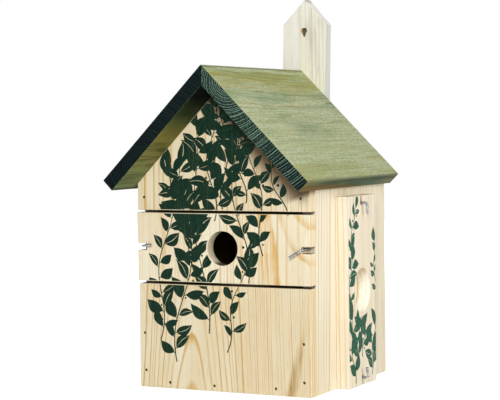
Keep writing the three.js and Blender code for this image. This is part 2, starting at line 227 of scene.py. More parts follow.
def border_loop(rows, columns):
    """Indices of a grid's border points, in order round it, and the corners' positions in that loop."""
    index = np.arange(rows * columns).reshape(rows, columns)
    loop = np.concatenate([index[0, :-1], index[:-1, -1], index[-1, :0:-1], index[:0:-1, 0]])
    return loop, np.array([0, columns - 1, columns + rows - 2, 2 * columns + rows - 3])


def block(points, shares=()):
    """A closed block from two sheets of grid points, in an array of rows, columns, sheets and three
    coordinates. Its sides have a loop of points at each share of the thickness. Returns the points, the
    quads, the edges to be rounded and the wear, which is one on the two borders."""
    rows, columns = points.shape[:2]
    count = rows * columns
    loop, corner = border_loop(rows, columns)
    sheets = points.transpose(2, 0, 1, 3).reshape(2, count, 3)
    inner = [sheets[0][loop] * (1 - share) + sheets[1][loop] * share for share in shares]
    starts = 2 * count + np.arange(len(shares)) * len(loop)
    loops = [loop, *(start + np.arange(len(loop)) for start in starts), count + loop]
    index = np.arange(count).reshape(rows, columns)
    sheet = np.stack([index[:-1, :-1], index[1:, :-1], index[1:, 1:], index[:-1, 1:]], -1).reshape(-1, 4)
    neighbours = list(zip(loops, loops[1:]))
    bands = [np.stack([one, np.roll(one, -1), np.roll(other, -1), other], -1)
             for one, other in neighbours]
    rims = [np.stack([one, np.roll(one, -1)], -1) for one in (loops[0], loops[-1])]
    rims += [np.stack([one[corner], other[corner]], -1) for one, other in neighbours]
    worn = np.zeros(2 * count + len(shares) * len(loop))
    worn[loop] = 1
    worn[count + loop] = 1
    return (np.concatenate([*sheets, *inner]), np.concatenate([sheet[:, ::-1], sheet + count, *bands]),
            np.concatenate(rims), worn)


def new_mesh(name, points, faces):
    mesh = bpy.data.meshes.new(name)
    mesh.from_pydata(points.reshape(-1, 3).tolist(), [], faces)
    return mesh


def join_points(mesh, reach, outwards=True):
    """Joins a mesh's points that lie within reach of each other and turns its faces outwards."""
    shell = bmesh.new()
    shell.from_mesh(mesh)
    bmesh.ops.remove_doubles(shell, verts=shell.verts, dist=reach)
    bmesh.ops.dissolve_degenerate(shell, edges=shell.edges, dist=reach)
    if outwards:
        bmesh.ops.recalc_face_normals(shell, faces=shell.faces)
    shell.to_mesh(mesh)
    shell.free()


def new_object(name, data):
    made = bpy.data.objects.new(name, data)
    bpy.context.scene.collection.objects.link(made)
    return made


def add_piece(name, points, faces, material, body, replaces=(), arris_pairs=None, arris=0,
              worn=None):
    """A closed piece from points and faces, with its body and the CAD nodes it replaces. Its
    edges between the arris pairs of points are rounded."""
    mesh = new_mesh(name, points, faces.tolist())
    if arris_pairs is not None:
        weigh_edges(mesh, arris_pairs)
    if worn is not None:
        attribute = mesh.attributes.new("worn", "FLOAT", "POINT")
        attribute.data.foreach_set("value", worn.ravel().astype(np.float32))
    join_points(mesh, 1e-7)
    mesh.shade_smooth()
    mesh.materials.append(material)
    piece = new_object(name, mesh)
    if arris:
        rounding = piece.modifiers.new("arris", "BEVEL")
        rounding.width = arris
        rounding.segments = 3
        rounding.limit_method = "WEIGHT"
        rounding.harden_normals = True
        rounding.use_clamp_overlap = True
    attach(piece, body)
    if replaces:
        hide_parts(*replaces)
    return piece


def weigh_edges(mesh, pairs):
    """Marks the edges that join these pairs of points, so that only they are rounded."""
    ends = np.zeros(len(mesh.edges) * 2, np.int64)
    mesh.edges.foreach_get("vertices", ends)
    ends = np.sort(ends.reshape(-1, 2), axis=1)
    wanted = np.sort(pairs, axis=1)
    span = len(mesh.vertices)
    marked = np.isin(ends[:, 0] * span + ends[:, 1], wanted[:, 0] * span + wanted[:, 1])
    weight = mesh.attributes.new("bevel_weight_edge", "FLOAT", "EDGE")
    weight.data.foreach_set("value", marked.astype(np.float32))


def add_board(name, node, across, up, place, material, arris=None, pits=(), pit_sheet=1):
    """A board of the box as two sheets of grid points: place turns two coordinates and a sheet's number
    to a point and the sheet's outward direction, and the pits of nails are pressed in against it."""
    boards = bpy.context.scene.nest_boards
    a, b, sheet = np.meshgrid(across, up, np.array([0, 1]), indexing="ij")
    depth = np.zeros(a.shape)
    if len(pits):
        bent_a, bent_b, distance = round_pits(a, b, pits)
        here = sheet == pit_sheet
        a, b = np.where(here, bent_a, a), np.where(here, bent_b, b)
        depth = np.where(here, pit_profile(distance, boards.pit_depth), 0)
    points, outwards = place(a, b, sheet)
    points = points - outwards * depth[..., None]
    near = boards.edge_line / np.linalg.norm(points[0, 0, 1] - points[0, 0, 0])
    points, faces, pairs, worn = block(points, (near, 0.5, 1 - near))
    return add_piece(name, points, faces, material, "box", (node,), pairs, arris or boards.arris,
                     worn)


def ring_faces(rings, columns):
    """Quads of a surface that closes on itself both ways, such as a board with a hole."""
    index = np.arange(rings * columns).reshape(rings, columns)
    along = np.roll(index, -1, axis=0)
    return np.stack([index, along, np.roll(along, -1, 1), np.roll(index, -1, 1)], -1).reshape(-1, 4)


def tube_faces(rings, columns):
    """Quads of a tube that closes round its rings and is open from its first column to its last."""
    index = np.arange(rings * columns).reshape(rings, columns)
    along = np.roll(index, -1, axis=0)
    return np.stack([index[:, :-1], along[:, :-1], along[:, 1:], index[:, 1:]], -1).reshape(-1, 4)


def inset(loop, distance):
    """A closed line moved inwards: each point goes along the mean of its two edges' inward normals."""
    normals = []
    for edge in (loop - np.roll(loop, 1, axis=0), np.roll(loop, -1, axis=0) - loop):
        edge = edge / np.linalg.norm(edge, axis=1, keepdims=True)
        normals.append(np.stack([-edge[:, 1], edge[:, 0]], axis=1))
    one, other = normals
    reach = 1 + (one * other).sum(axis=1, keepdims=True)
    return loop + (one + other) / reach * distance


def oval(angles, half_length, half_width):
    return np.stack([np.cos(angles) * half_length, np.sin(angles) * half_width], axis=1)


# Half the height and the depth of the notch in each end of an entrance board
NOTCH_HALF = 3.1 * MM
NOTCH_DEPTH = 8.9 * MM


def entrance_board_points(half_length, overreach, half_height, hole, front, back):
    """Points of an entrance board in its own plane: an outline ring and a hole ring joined by straight
    lines. Columns run from the outer edge over the front to the hole, through it and back along the
    rear. Overreach is how much further the left end reaches than the right one."""
    boards = bpy.context.scene.nest_boards
    left, right = -half_length - overreach, half_length
    notch = half_length - NOTCH_DEPTH
    outline_corners = np.array([
        (left, -half_height), (right, -half_height), (right, -NOTCH_HALF), (notch, -NOTCH_HALF),
        (notch, NOTCH_HALF), (right, NOTCH_HALF), (right, half_height), (left, half_height),
        (left, NOTCH_HALF), (-notch, NOTCH_HALF), (-notch, -NOTCH_HALF), (left, -NOTCH_HALF),
    ])
    # Where on the hole's rim the line from each corner ends
    angles = np.radians([-136, -44, -24, -13, 13, 24, 44, 136, 156, 167, 193, 204, 224])
    points, turns, corner_rings = [], [], []
    for n, (start, end) in enumerate(zip(outline_corners, np.roll(outline_corners, -1, axis=0))):
        count = max(2, round(np.linalg.norm(end - start) / boards.cell))
        share = np.arange(count)[:, None] / count
        corner_rings.append(sum(len(p) for p in points))
        points.append(start + share * (end - start))
        turns.append(angles[n] + share[:, 0] * (angles[n + 1] - angles[n]))
    outline, turn = np.concatenate(points), np.concatenate(turns)
    line = boards.edge_line * 0.75
    inner_line = inset(outline, line)
    hole_ring = oval(turn, *hole)
    hole_line = oval(turn, hole[0] + line, hole[1] + line)
    between = [inner_line + share * (hole_line - inner_line) for share in (0.25, 0.5, 0.75)]
    sheet = [outline, inner_line, *between, hole_line, hole_ring]
    half = len(sheet)
    flat = np.stack(sheet + [hole_ring] * 3 + sheet[::-1] + [outline] * 3, axis=1)
    near = line / abs(back - front)
    through = [front + (back - front) * share for share in (near, 0.5, 1 - near)]
    depth = np.concatenate([np.full(half, front), through, np.full(half, back), through[::-1]])
    rims = np.array([0, half - 1, half + 3, 2 * half + 2])
    worn = np.zeros(flat.shape[:2])
    worn[:, rims] = 1
    return flat, depth, worn, rims, corner_rings


def add_entrance_board(name, node, body, place, material, **sizes):
    """An entrance board. Place turns its two own coordinates and its depth to points."""
    flat, depth, worn, rim_columns, corner_rings = entrance_board_points(**sizes)
    rings, columns = flat.shape[:2]
    index = np.arange(rings * columns).reshape(rings, columns)
    rims = [np.stack([index[:, c], np.roll(index[:, c], -1)], -1) for c in rim_columns]
    outside = index[corner_rings][:, [rim_columns[-1], -3, -2, -1, 0]]
    rims += [outside[:, [n, n + 1]] for n in range(4)]
    points = place(flat[..., 0], flat[..., 1], np.broadcast_to(depth, (rings, columns)))
    add_piece(name, points, ring_faces(rings, columns), material, body, (node,),
              np.concatenate(rims), bpy.context.scene.nest_boards.arris * 0.9, worn)


# Materials

class Value:
    """A value in a node tree. Arithmetic with it adds the nodes that work it out: math nodes for a
    number and vector math nodes for a vector or a colour."""

    def __init__(self, nodes, socket):
        self.nodes = nodes
        self.socket = socket

    def apply(self, operation, *values):
        """The result of an operation on these values, or on this value alone."""
        inputs = enumerate(values or (self,))
        if self.socket.type == "VALUE":
            return self.nodes.value("ShaderNodeMath", 0, inputs, operation=operation)
        output = "Value" if operation in ("LENGTH", "DISTANCE", "DOT_PRODUCT") else "Vector"
        return self.nodes.value("ShaderNodeVectorMath", output, inputs, operation=operation)

    def __add__(self, other):
        return self.apply("ADD", self, other)

    def __sub__(self, other):
        return self.apply("SUBTRACT", self, other)

    def __rsub__(self, other):
        return self.apply("SUBTRACT", other, self)

    def __mul__(self, other):
        return self.apply("MULTIPLY", self, other)

    def __truediv__(self, other):
        return self.apply("DIVIDE", self, other)

    def __abs__(self):
        return self.apply("ABSOLUTE")

    def larger(self, other):
        return self.apply("MAXIMUM", self, other)

    def clamped(self):
        """The same value, kept from zero to one."""
        self.socket.node.use_clamp = True
        return self

    def length(self):
        return self.apply("LENGTH")

    def distance(self, other):
        return self.apply("DISTANCE", self, other)

    def dot(self, other):
        return self.apply("DOT_PRODUCT", self, other)

    def scaled(self, factor):
        return self.nodes.value("ShaderNodeVectorMath", "Vector", {"Vector": self, "Scale": factor},
                                operation="SCALE")

    def parts(self):
        """The X, Y and Z parts of a vector."""
        node = self.nodes.add("ShaderNodeSeparateXYZ", {"Vector": self})
        return [Value(self.nodes, socket) for socket in node.outputs]

    def ramp(self, low, high, to_low=0.0, to_high=1.0):
        """The value between low and high turned smoothly to one between to_low and to_high."""
        return self.nodes.value("ShaderNodeMapRange", "Result", {
            "Value": self, "From Min": low, "From Max": high, "To Min": to_low, "To Max": to_high,
        }, interpolation_type="SMOOTHSTEP")

    def noise(self, scale, detail=3.0, roughness=0.5, stretch=None, output="Fac"):
        """Noise at this place, drawn out along the axes whose stretch is small."""
        place = self if stretch is None else self * stretch
        return self.nodes.value("ShaderNodeTexNoise", output, {
            "Vector": place, "Scale": scale, "Detail": detail, "Roughness": roughness})


def largest(values):
    return functools.reduce(Value.larger, values)


class Nodes:
    """Short ways to add and join the nodes of one tree."""

    def __init__(self, tree):
        self.tree = tree

    def add(self, kind, inputs=(), **settings):
        node = self.tree.nodes.new(kind)
        for key, value in settings.items():
            setattr(node, key, value)
        for socket, value in dict(inputs).items():
            self.feed(node.inputs[socket], value)
        return node

    def value(self, kind, output, inputs=(), **settings):
        return Value(self, self.add(kind, inputs, **settings).outputs[output])

    def feed(self, socket, value):
        if isinstance(value, Value):
            self.tree.links.new(value.socket, socket)
        elif socket.type == "RGBA":
            socket.default_value = (*value, 1)
        else:
            socket.default_value = value

    def mix(self, share, one, other):
        """One colour with a share of another one over it."""
        node = self.add("ShaderNodeMix", data_type="RGBA")
        colours = [socket for socket in node.inputs if socket.type == "RGBA"]
        for socket, value in zip([node.inputs[0], *colours], (share, one, other)):
            self.feed(socket, value)
        return Value(self, next(socket for socket in node.outputs if socket.type == "RGBA"))

    def layers(self, colour, coats):
        """A colour with coats over it, each a share and a colour."""
        for share, coat in coats:
            colour = self.mix(share, colour, coat)
        return colour


class Look:
    """A material in the making: its nodes, the place on the piece and the colour so far."""

    def __init__(self, name, colour=None):
        self.material = bpy.data.materials.new(name)
        self.material.use_nodes = True
        self.nodes = Nodes(self.material.node_tree)
        places = self.nodes.add("ShaderNodeTexCoord").outputs
        self.where = Value(self.nodes, places["Object"])
        self.outwards = Value(self.nodes, places["Normal"])
        self.colour = colour

    def coat(self, share, colour):
        """Covers a share of the colour so far with another one."""
        self.colour = self.nodes.mix(share, self.colour, colour)

    def feed(self, inputs):
        surface = self.nodes.tree.nodes["Principled BSDF"]
        for socket, value in inputs.items():
            self.nodes.feed(surface.inputs[socket], value)

    def finish(self, roughness, height, strength, distance, specular=0.5, metallic=0.0):
        """Joins the colour, the roughness and a bump of this height, and gives the material."""
        bump = self.nodes.value("ShaderNodeBump", "Normal", {
            "Height": height, "Strength": strength, "Distance": distance})
        self.feed({"Base Color": self.colour, "Roughness": roughness, "Normal": bump,
                   "Specular IOR Level": specular, "Metallic": metallic})
        return self.material


FLOAT, VECTOR = "NodeSocketFloat", "NodeSocketVector"


def new_group(name, inputs, outputs):
    """A node group with these named sockets, its inputs' values and its output node's sockets."""
    tree = bpy.data.node_groups.new(name, "ShaderNodeTree")
    for socket, (kind, default) in inputs.items():
        made = tree.interface.new_socket(name=socket, in_out="INPUT", socket_type=kind)
        if default is not None:
            made.default_value = default
    for socket in outputs:
        tree.interface.new_socket(name=socket, in_out="OUTPUT", socket_type=FLOAT)
    nodes = Nodes(tree)
    given = {socket.name: Value(nodes, socket) for socket in nodes.add("NodeGroupInput").outputs}
    return nodes, given, nodes.add("NodeGroupOutput").inputs


def make_rings_group():
    """Growth rings: the distance from a wandering pith line along the vector's Z, counted at a rate
    that changes with the radius, darkens slowly to the late wood and ends sharply. Fibre, tone and pores
    are noise drawn out along the grain."""
    nodes, given, out = new_group("growth rings", {
        "Vector": (VECTOR, None), "Rate": (FLOAT, 400.0), "Gain": (FLOAT, 0.0),
        "Waviness": (FLOAT, 0.002), "Draw": (FLOAT, 0.22), "Push": (FLOAT, 0.0),
    }, ("Late", "Fibre", "Tone", "Pores"))
    place = given["Vector"]
    scales = nodes.value("ShaderNodeCombineXYZ", "Vector", {"X": 1.0, "Y": 1.0, "Z": given["Draw"]})
    bend = (place * scales).noise(16.0, 2.0, 0.45, output="Color") - (0.5, 0.5, 0.5)
    bent = place + bend.scaled(given["Waviness"])
    radius = (bent * (1.0, 1.0, 0.0)).length() + given["Push"]
    years = radius * (given["Rate"] + radius * given["Gain"])
    uneven = nodes.value("ShaderNodeTexNoise", "Fac", {"W": years * 0.37, "Scale": 1.0, "Detail": 2.0},
                         noise_dimensions="1D")
    years = years + uneven * 1.7
    share = years.apply("FRACT")
    strength = nodes.value("ShaderNodeTexWhiteNoise", "Value", {"W": years.apply("FLOOR")},
                           noise_dimensions="1D")
    fibres = place * (1.0, 1.0, 0.025)
    late = share.ramp(0.5, 0.86) * share.ramp(0.88, 1.0, 1.0, 0.0) * strength.ramp(0.0, 1.0, 0.3, 1.0)
    nodes.feed(out["Late"], late)
    nodes.feed(out["Fibre"], fibres.noise(950.0, 3.0, 0.6) * 0.5 + fibres.noise(260.0, 2.0) * 0.5)
    nodes.feed(out["Tone"], place.noise(22.0, 2.0, stretch=(1.0, 1.0, 0.3)))
    nodes.feed(out["Pores"], place.noise(1500.0, 1.0, stretch=(1.0, 1.0, 0.06)).ramp(0.62, 0.78))
    return nodes.tree


def make_knot_group():
    """A knot at a place: its core is dark with rings, its halo fades over its size, and its push bends
    the growth rings round it."""
    nodes, given, out = new_group("knot", {
        "Vector": (VECTOR, None), "Place": (VECTOR, None), "Stretch": (VECTOR, (1.0, 1.0, 0.5)),
        "Size": (FLOAT, 0.006),
    }, ("Push", "Core", "Halo", "Rings"))
    away = (given["Vector"] - given["Place"]) * given["Stretch"]
    ragged = given["Vector"].noise(90.0, 2.0, output="Color") - (0.5, 0.5, 0.5)
    share = (away + ragged.scaled(given["Size"])).length() / given["Size"]
    nodes.feed(out["Push"], (share * share * -0.35).apply("EXPONENT") * given["Size"])
    nodes.feed(out["Core"], share.ramp(0.75, 1.15, 1.0, 0.0))
    nodes.feed(out["Halo"], share.ramp(0.6, 3.0, 1.0, 0.0))
    nodes.feed(out["Rings"], (share * 4.3).apply("FRACT").ramp(0.3, 0.9))
    return nodes.tree


def make_wear_group():
    """Wear along edges: the worn attribute of the edge points, broken up by noise."""
    nodes, given, out = new_group("edge wear", {"Vector": (VECTOR, None)}, ("Wear",))
    worn = nodes.value("ShaderNodeAttribute", "Fac", attribute_name="worn", attribute_type="GEOMETRY")
    patches = given["Vector"].noise(240.0, 3.0, 0.6).ramp(0.38, 0.66)
    nodes.feed(out["Wear"], worn.ramp(0.35, 1.0) * patches)
    return nodes.tree


GROUP_MAKERS = {"growth rings": make_rings_group, "knot": make_knot_group, "edge wear": make_wear_group}


def group(nodes, name, inputs):
    """Adds a node group, made at its first use, and gives its outputs by name."""
    tree = bpy.data.node_groups.get(name) or GROUP_MAKERS[name]()
    node = nodes.add("ShaderNodeGroup", node_tree=tree)
    for socket, value in inputs.items():
        nodes.feed(node.inputs[socket], value)
    return {socket.name: Value(nodes, socket) for socket in node.outputs}


def grow(look, pith, tilt, rate, gain, waviness, draw, knots, knot_push, knot_stretch):
    """The growth rings round a tilted pith, pushed aside by knots, and the knots. A knot is a centre
    and a size. Lengths are in millimetres, the tilt in degrees and the rate in rings to a millimetre."""
    push, grown = 0.0, []
    for centre, size in knots:
        grown.append(group(look.nodes, "knot", {
            "Vector": look.where, "Place": in_metres(centre), "Size": size * MM,
            "Stretch": knot_stretch}))
        push = grown[-1]["Push"] * knot_push + push
    grain = look.nodes.value("ShaderNodeMapping", "Vector", {
        "Vector": look.where - in_metres(pith), "Rotation": tuple(map(math.radians, tilt))})
    rings = group(look.nodes, "growth rings", {
        "Vector": grain, "Rate": rate / MM, "Gain": gain / MM / MM, "Waviness": waviness * MM,
        "Draw": draw, "Push": push})
    return rings, grown


def pine_material(name, colours, pith, tilt=(0, 0, 0), rate=0.4, gain=0.0, waviness=6.0, draw=0.22,
                  contrast=0.85, knots=(), marks=()):
    """Planed pine: cream wood with amber rings round a pith, fine fibres, small resin pores, knots that
    push the rings aside, and slightly polished edges. Each mark adds one more feature to the colour."""
    early, late = colours
    look = Look(name, early)
    rings, grown = grow(look, pith, tilt, rate, gain, waviness, draw, knots, 1.1, (1.0, 1.0, 0.5))
    fine = rings["Fibre"].ramp(0.38, 0.64, -0.16, 0.2)
    look.coat((rings["Late"] * contrast + fine).clamped(), late)
    look.coat(rings["Late"].ramp(0.6, 1.0) * 0.4, look.nodes.mix(0.5, late, shade(150, 96, 42)))
    look.coat(rings["Tone"].ramp(0.38, 0.66, 0.0, 0.42), look.nodes.mix(0.5, look.colour, late))
    if grown:
        cores = [knot["Core"] * (knot["Rings"] * 0.4 + 0.6) for knot in grown]
        look.coat(largest(knot["Halo"] for knot in grown) * 0.3, late)
        look.coat(largest(cores) * 0.75, shade(132, 84, 44))
    for mark in marks:
        mark(look, rings)
    look.coat(rings["Pores"] * 0.2, shade(176, 128, 70))
    wear = group(look.nodes, "edge wear", {"Vector": look.where})["Wear"]
    look.coat(wear * 0.3, shade(250, 240, 218))
    height = rings["Late"] * 0.5 - (rings["Fibre"] * 0.5 + rings["Pores"] * 0.5)
    return look.finish(rings["Late"].ramp(0.0, 1.0, 0.66, 0.5), height, 0.35, 0.12 * MM, specular=0.3)


# Marks: each takes a look and the material's growth rings, and coats the look's colour

def sawn_sides_and_joint_shade(look, rings):
    """Rough sawn sides, a little darker, and painted shade on the end grain at a board's top and foot,
    standing for the shade of the joints between the boards."""
    x, _, z = look.outwards.parts()
    look.coat(abs(x).ramp(0.75, 0.95, 0.0, 0.32), shade(206, 176, 124))
    # Painted shade: faces that look up or down turn almost black, as the joints between the boards shade
    # them
    look.coat(abs(z).ramp(0.75, 0.95, 0.0, 0.85), shade(40, 28, 18))


def painted_eave_shadow(look, rings):
    """Painted shadow: brown along the gable's right slope, where the roof's overhang shades it."""
    x, _, z = look.where.parts()
    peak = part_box("gable_front_board")[1][2]
    share = ((peak - x - z) * ROOT_HALF).ramp(15 * MM, 36 * MM, 0.86, 0.0)
    foot = x * -0.38 + z
    # Painted shadow of the right roof board's overhang, cut off below a line that rises towards the
    # right
    look.coat(share * foot.ramp(148 * MM, 154 * MM), shade(96, 62, 28))


def rough_and_shaded_inside(look, rings):
    """Rough sawn wood on the faces that look into the nest chamber, painted darker as the shade inside
    the closed chamber.
    """
    inwards = (look.where * (-1.0, -1.0, 0.0)).dot(look.outwards)
    # Painted shade: the inner faces turn darker brown
    look.coat(inwards.ramp(60 * MM, 70 * MM, 0.0, 0.8), shade(150, 122, 84))


# Amber lines of the entrance board. Each is part of a circle: its centre (X, Z), its radius, half its
# breadth and its strength, all in millimetres but the last. The last two bend round a branch beyond the
# board's right end.
FIGURE_LINES = (
    (-300.0, 134.0, 238.0, 2.2, 0.6),
    (-300.0, 134.0, 272.0, 1.8, 0.55),
    (-350.0, 110.0, 371.5, 1.3, 0.6),
    (-350.0, 100.0, 381.5, 1.1, 0.5),
    (-350.0, 112.0, 392.2, 1.2, 0.85),
    (-350.0, 95.0, 398.2, 1.3, 0.9),
    (-264.6, 85.1, 322.4, 3.0, 1.0),
    (120.0, 173.8, 60.8, 1.9, 0.8),
    (100.6, 182.8, 30.8, 2.4, 0.7),
)


def branch_figure(look, rings):
    """The entrance board's broad amber lines: each darkens slowly outwards and ends more sharply."""
    flat = look.where * (1.0, 0.0, 1.0)
    wobble = look.where.noise(70.0, 2.0, stretch=(1.0, 1.0, 0.4)) - 0.5
    broken = look.where.noise(48.0, 2.0).ramp(0.34, 0.6, 0.5, 1.0)
    striped = broken * rings["Fibre"].ramp(0.38, 0.6, 0.7, 1.0)
    for x, z, radius, half, strength in FIGURE_LINES:
        away = flat.distance(in_metres((x, 0.0, z)))
        off = wobble * (5 * MM) + (away - radius * MM)
        rise = off.ramp(-3.0 * half * MM, 0.0, 0.0, strength)
        fall = off.ramp(0.2 * half * MM, 1.3 * half * MM, 1.0, 0.0)
        look.coat(rise * fall * striped, shade(228, 180, 92))


def resin_streak(look, rings):
    """A slanting resin streak in the lower board's right corner: it narrows and fades from its foot to
    its top."""
    foot_x, top_x, top_z, width = 69, 84, 66, 7.5
    x, _, z = look.where.parts()
    wobble = (look.where.noise(60.0, 2.0) - 0.5) * (5 * MM)
    line = z * ((top_x - foot_x) / top_z) + foot_x * MM
    half_width = z.ramp(0.0, top_z * MM, width * MM, 0.5 * width * MM)
    across = (abs(x - line + wobble) / half_width).ramp(0.2, 1.0, 1.0, 0.0)
    upward = z.ramp(0.35 * top_z * MM, top_z * MM, 0.9, 0.0)
    look.coat(across * upward * rings["Fibre"].ramp(0.4, 0.58, 0.45, 1.0), shade(182, 142, 64))


def painted_light_and_shade_in_bore(look, rings):
    """Painted light on the sides of the spare board's hole: near-white wood with fine grain lines, which
    stands in for light in the shaded bore, and painted shade in brown towards its top.
    """
    away = (look.where - tuple(middle_of("spare_entrance_board"))) * (0.0, 1.0, 1.0)
    near = away.length().ramp(22 * MM, 24 * MM, 1.0, 0.0)
    side = abs(look.outwards.parts()[0]).ramp(0.4, 0.7, 1.0, 0.0)
    lines = look.where.noise(520.0, 2.0, stretch=(1.0, 0.2, 0.06)).ramp(0.48, 0.66, 0.0, 0.42)
    # Painted light: near-white, paler than the board, where the bore lies in shade
    pale = look.nodes.mix(lines, shade(255, 255, 246), shade(228, 198, 140))
    # Painted shade: brown towards the top of the bore
    high = away.parts()[2].ramp(11 * MM, 20 * MM, 0.0, 0.5)
    look.coat(near * side, look.nodes.mix(high, pale, shade(206, 166, 104)))


def weathered_batten_and_hole_shade(look, rings):
    """Grey clouds, a warm band below the hanging hole, an amber rim at the hole's left, pale sawn faces
    at the point, grey side faces and painted shade in olive brown on the walls of the hole."""
    clouds = look.where.noise(130.0, 3.0, stretch=(1.0, 1.0, 0.12)).ramp(0.45, 0.7)
    look.coat(clouds * 0.5, shade(186, 180, 162))
    x, _, z = look.where.parts()
    hole_x, hole_z = 3.9 * MM, 343.1 * MM
    off = abs(x - (hole_x - 1 * MM))
    band = off.ramp(1.5 * MM, 4 * MM, 1.0, 0.0) * z.ramp(hole_z - 12 * MM, hole_z, 0.7, 0.0)
    look.coat(band, shade(255, 250, 218))
    rim = ((look.where - (hole_x - 1.6 * MM, 0.0, hole_z)) * (1.0, 0.0, 1.0)).length()
    look.coat(rim.ramp(1.5 * MM, 3.6 * MM, 0.8, 0.0), shade(206, 172, 108))
    out_x, out_y, out_z = look.outwards.parts()
    look.coat(out_z.ramp(0.4, 0.6, 0.0, 0.6), shade(255, 254, 246))
    look.coat(abs(out_x).ramp(0.85, 0.97, 0.0, 0.7), shade(196, 200, 194))
    # Painted shade: the walls of the hanging hole turn olive brown
    inside = rim.ramp(6.8 * MM, 7.4 * MM, 1.0, 0.0) * abs(out_y).ramp(0.4, 0.7, 0.9, 0.0)
    look.coat(inside, shade(176, 152, 92))


# Long lines in the roof's upper face. Each is an arc: how far down the slope its lowest place is, where
# that is along the board, its radius, half its breadth, its strength (all in millimetres but the last)
# and its colour as a screen shows it.
ROOF_ARCS = (
    (53.0, -19, 780, 0.9, 0.75, (206, 196, 150)),
    (54.4, -19, 780, 0.6, 0.6, (112, 132, 90)),
    (57.4, 60, 6600, 0.8, 0.65, (206, 196, 150)),
    (58.6, 60, 6600, 0.6, 0.55, (118, 136, 92)),
    (31.0, 10, 1500, 1.3, 0.6, (196, 184, 118)),
    (24.0, 60, 1200, 1.6, 0.55, (188, 172, 92)),
    (84.0, -40, 4000, 0.5, 0.35, (206, 200, 160)),
    (118.0, 20, 5000, 0.5, 0.3, (118, 130, 84)),
    (131.0, -60, 3500, 0.8, 0.35, (196, 182, 122)),
    (39.0, 30, 1100, 0.7, 0.6, (122, 138, 84)),
    (45.0, 0, 900, 0.6, 0.5, (118, 134, 88)),
    (70.0, 30, 2500, 0.6, 0.3, (120, 140, 100)),
    (77.0, -20, 3000, 0.5, 0.4, (112, 130, 92)),
    (93.0, 40, 4000, 0.6, 0.3, (118, 134, 96)),
    (101.0, -20, 3600, 0.5, 0.4, (112, 130, 88)),
    (109.0, 60, 3600, 0.6, 0.25, (204, 194, 150)),
    (125.0, 10, 4200, 0.5, 0.35, (116, 128, 80)),
    (138.0, 40, 5000, 0.5, 0.4, (112, 122, 76)),
    (143.0, -30, 5000, 0.8, 0.3, (190, 178, 116)),
    (10.0, 0, 2500, 0.6, 0.5, (128, 132, 68)),
    (16.0, 40, 1000, 0.7, 0.6, (124, 130, 64)),
    (19.5, 20, 1300, 0.5, 0.55, (120, 130, 72)),
    (35.0, 40, 1600, 0.5, 0.5, (200, 188, 124)),
)
# The arcs that the teal wedge lies between
WEDGE_UPPER, WEDGE_LOWER = 0, 2

# Colours of the roof's underside from near the ridge down to the eave, as shares of the way; the near
# black at the ridge is painted shade under the apex
UNDERSIDE_AND_RIDGE_SHADE_COLOURS = (
    (0.0, shade(14, 18, 12)),
    (0.14, shade(84, 94, 46)),
    (0.36, shade(136, 128, 62)),
    (0.62, shade(150, 146, 78)),
    (1.0, shade(122, 134, 88)),
)


def roof_lines(along, slope, shifted):
    """Shares and colours of the roof's long lines, of a teal wedge that opens to the rear, and of a
    scratch down the slope near the front."""
    wobble = shifted.noise(160.0, 2.0, stretch=(1.0, 0.1, 1.0))
    wavy = (wobble - 0.5) * (4 * MM) + slope
    broken = wobble.ramp(0.3, 0.55, 0.4, 1.0)
    arcs = []
    for lowest, middle, radius, half, strength, colour in ROOF_ARCS:
        off = along - middle * MM
        arcs.append(wavy - (off * off * (-0.5 / (radius * MM)) + lowest * MM))
        share = abs(arcs[-1]).ramp(0.3 * half * MM, 1.6 * half * MM, strength, 0.0)
        yield share * broken, shade(*colour)
    below = arcs[WEDGE_UPPER].ramp(1 * MM, 2 * MM)
    above = arcs[WEDGE_LOWER].ramp(-1.5 * MM, -0.5 * MM, 1.0, 0.0)
    wedge = below * above * wobble.ramp(0.35, 0.6, 0.35, 1.0)
    yield wedge * along.ramp(-30 * MM, 30 * MM, 0.0, 0.9), shade(96, 132, 102)
    scratch = slope * -0.13 + (along + 95.7 * MM)
    ends = slope.ramp(56 * MM, 60 * MM) * slope.ramp(77 * MM, 81 * MM, 1.0, 0.0)
    yield abs(scratch).ramp(0.2 * MM, 0.8 * MM, 0.5, 0.0) * ends, shade(112, 124, 82)


def colour_ramp(nodes, share, stops):
    """A colour that changes with a share, through these stops of a share and a colour."""
    node = nodes.add("ShaderNodeValToRGB", {"Fac": share})
    elements = node.color_ramp.elements
    while len(elements) < len(stops):
        elements.new(0.5)
    for element, (place, colour) in zip(elements, stops):
        element.position = place
        element.color = (*colour, 1)
    return Value(nodes, node.outputs["Color"])


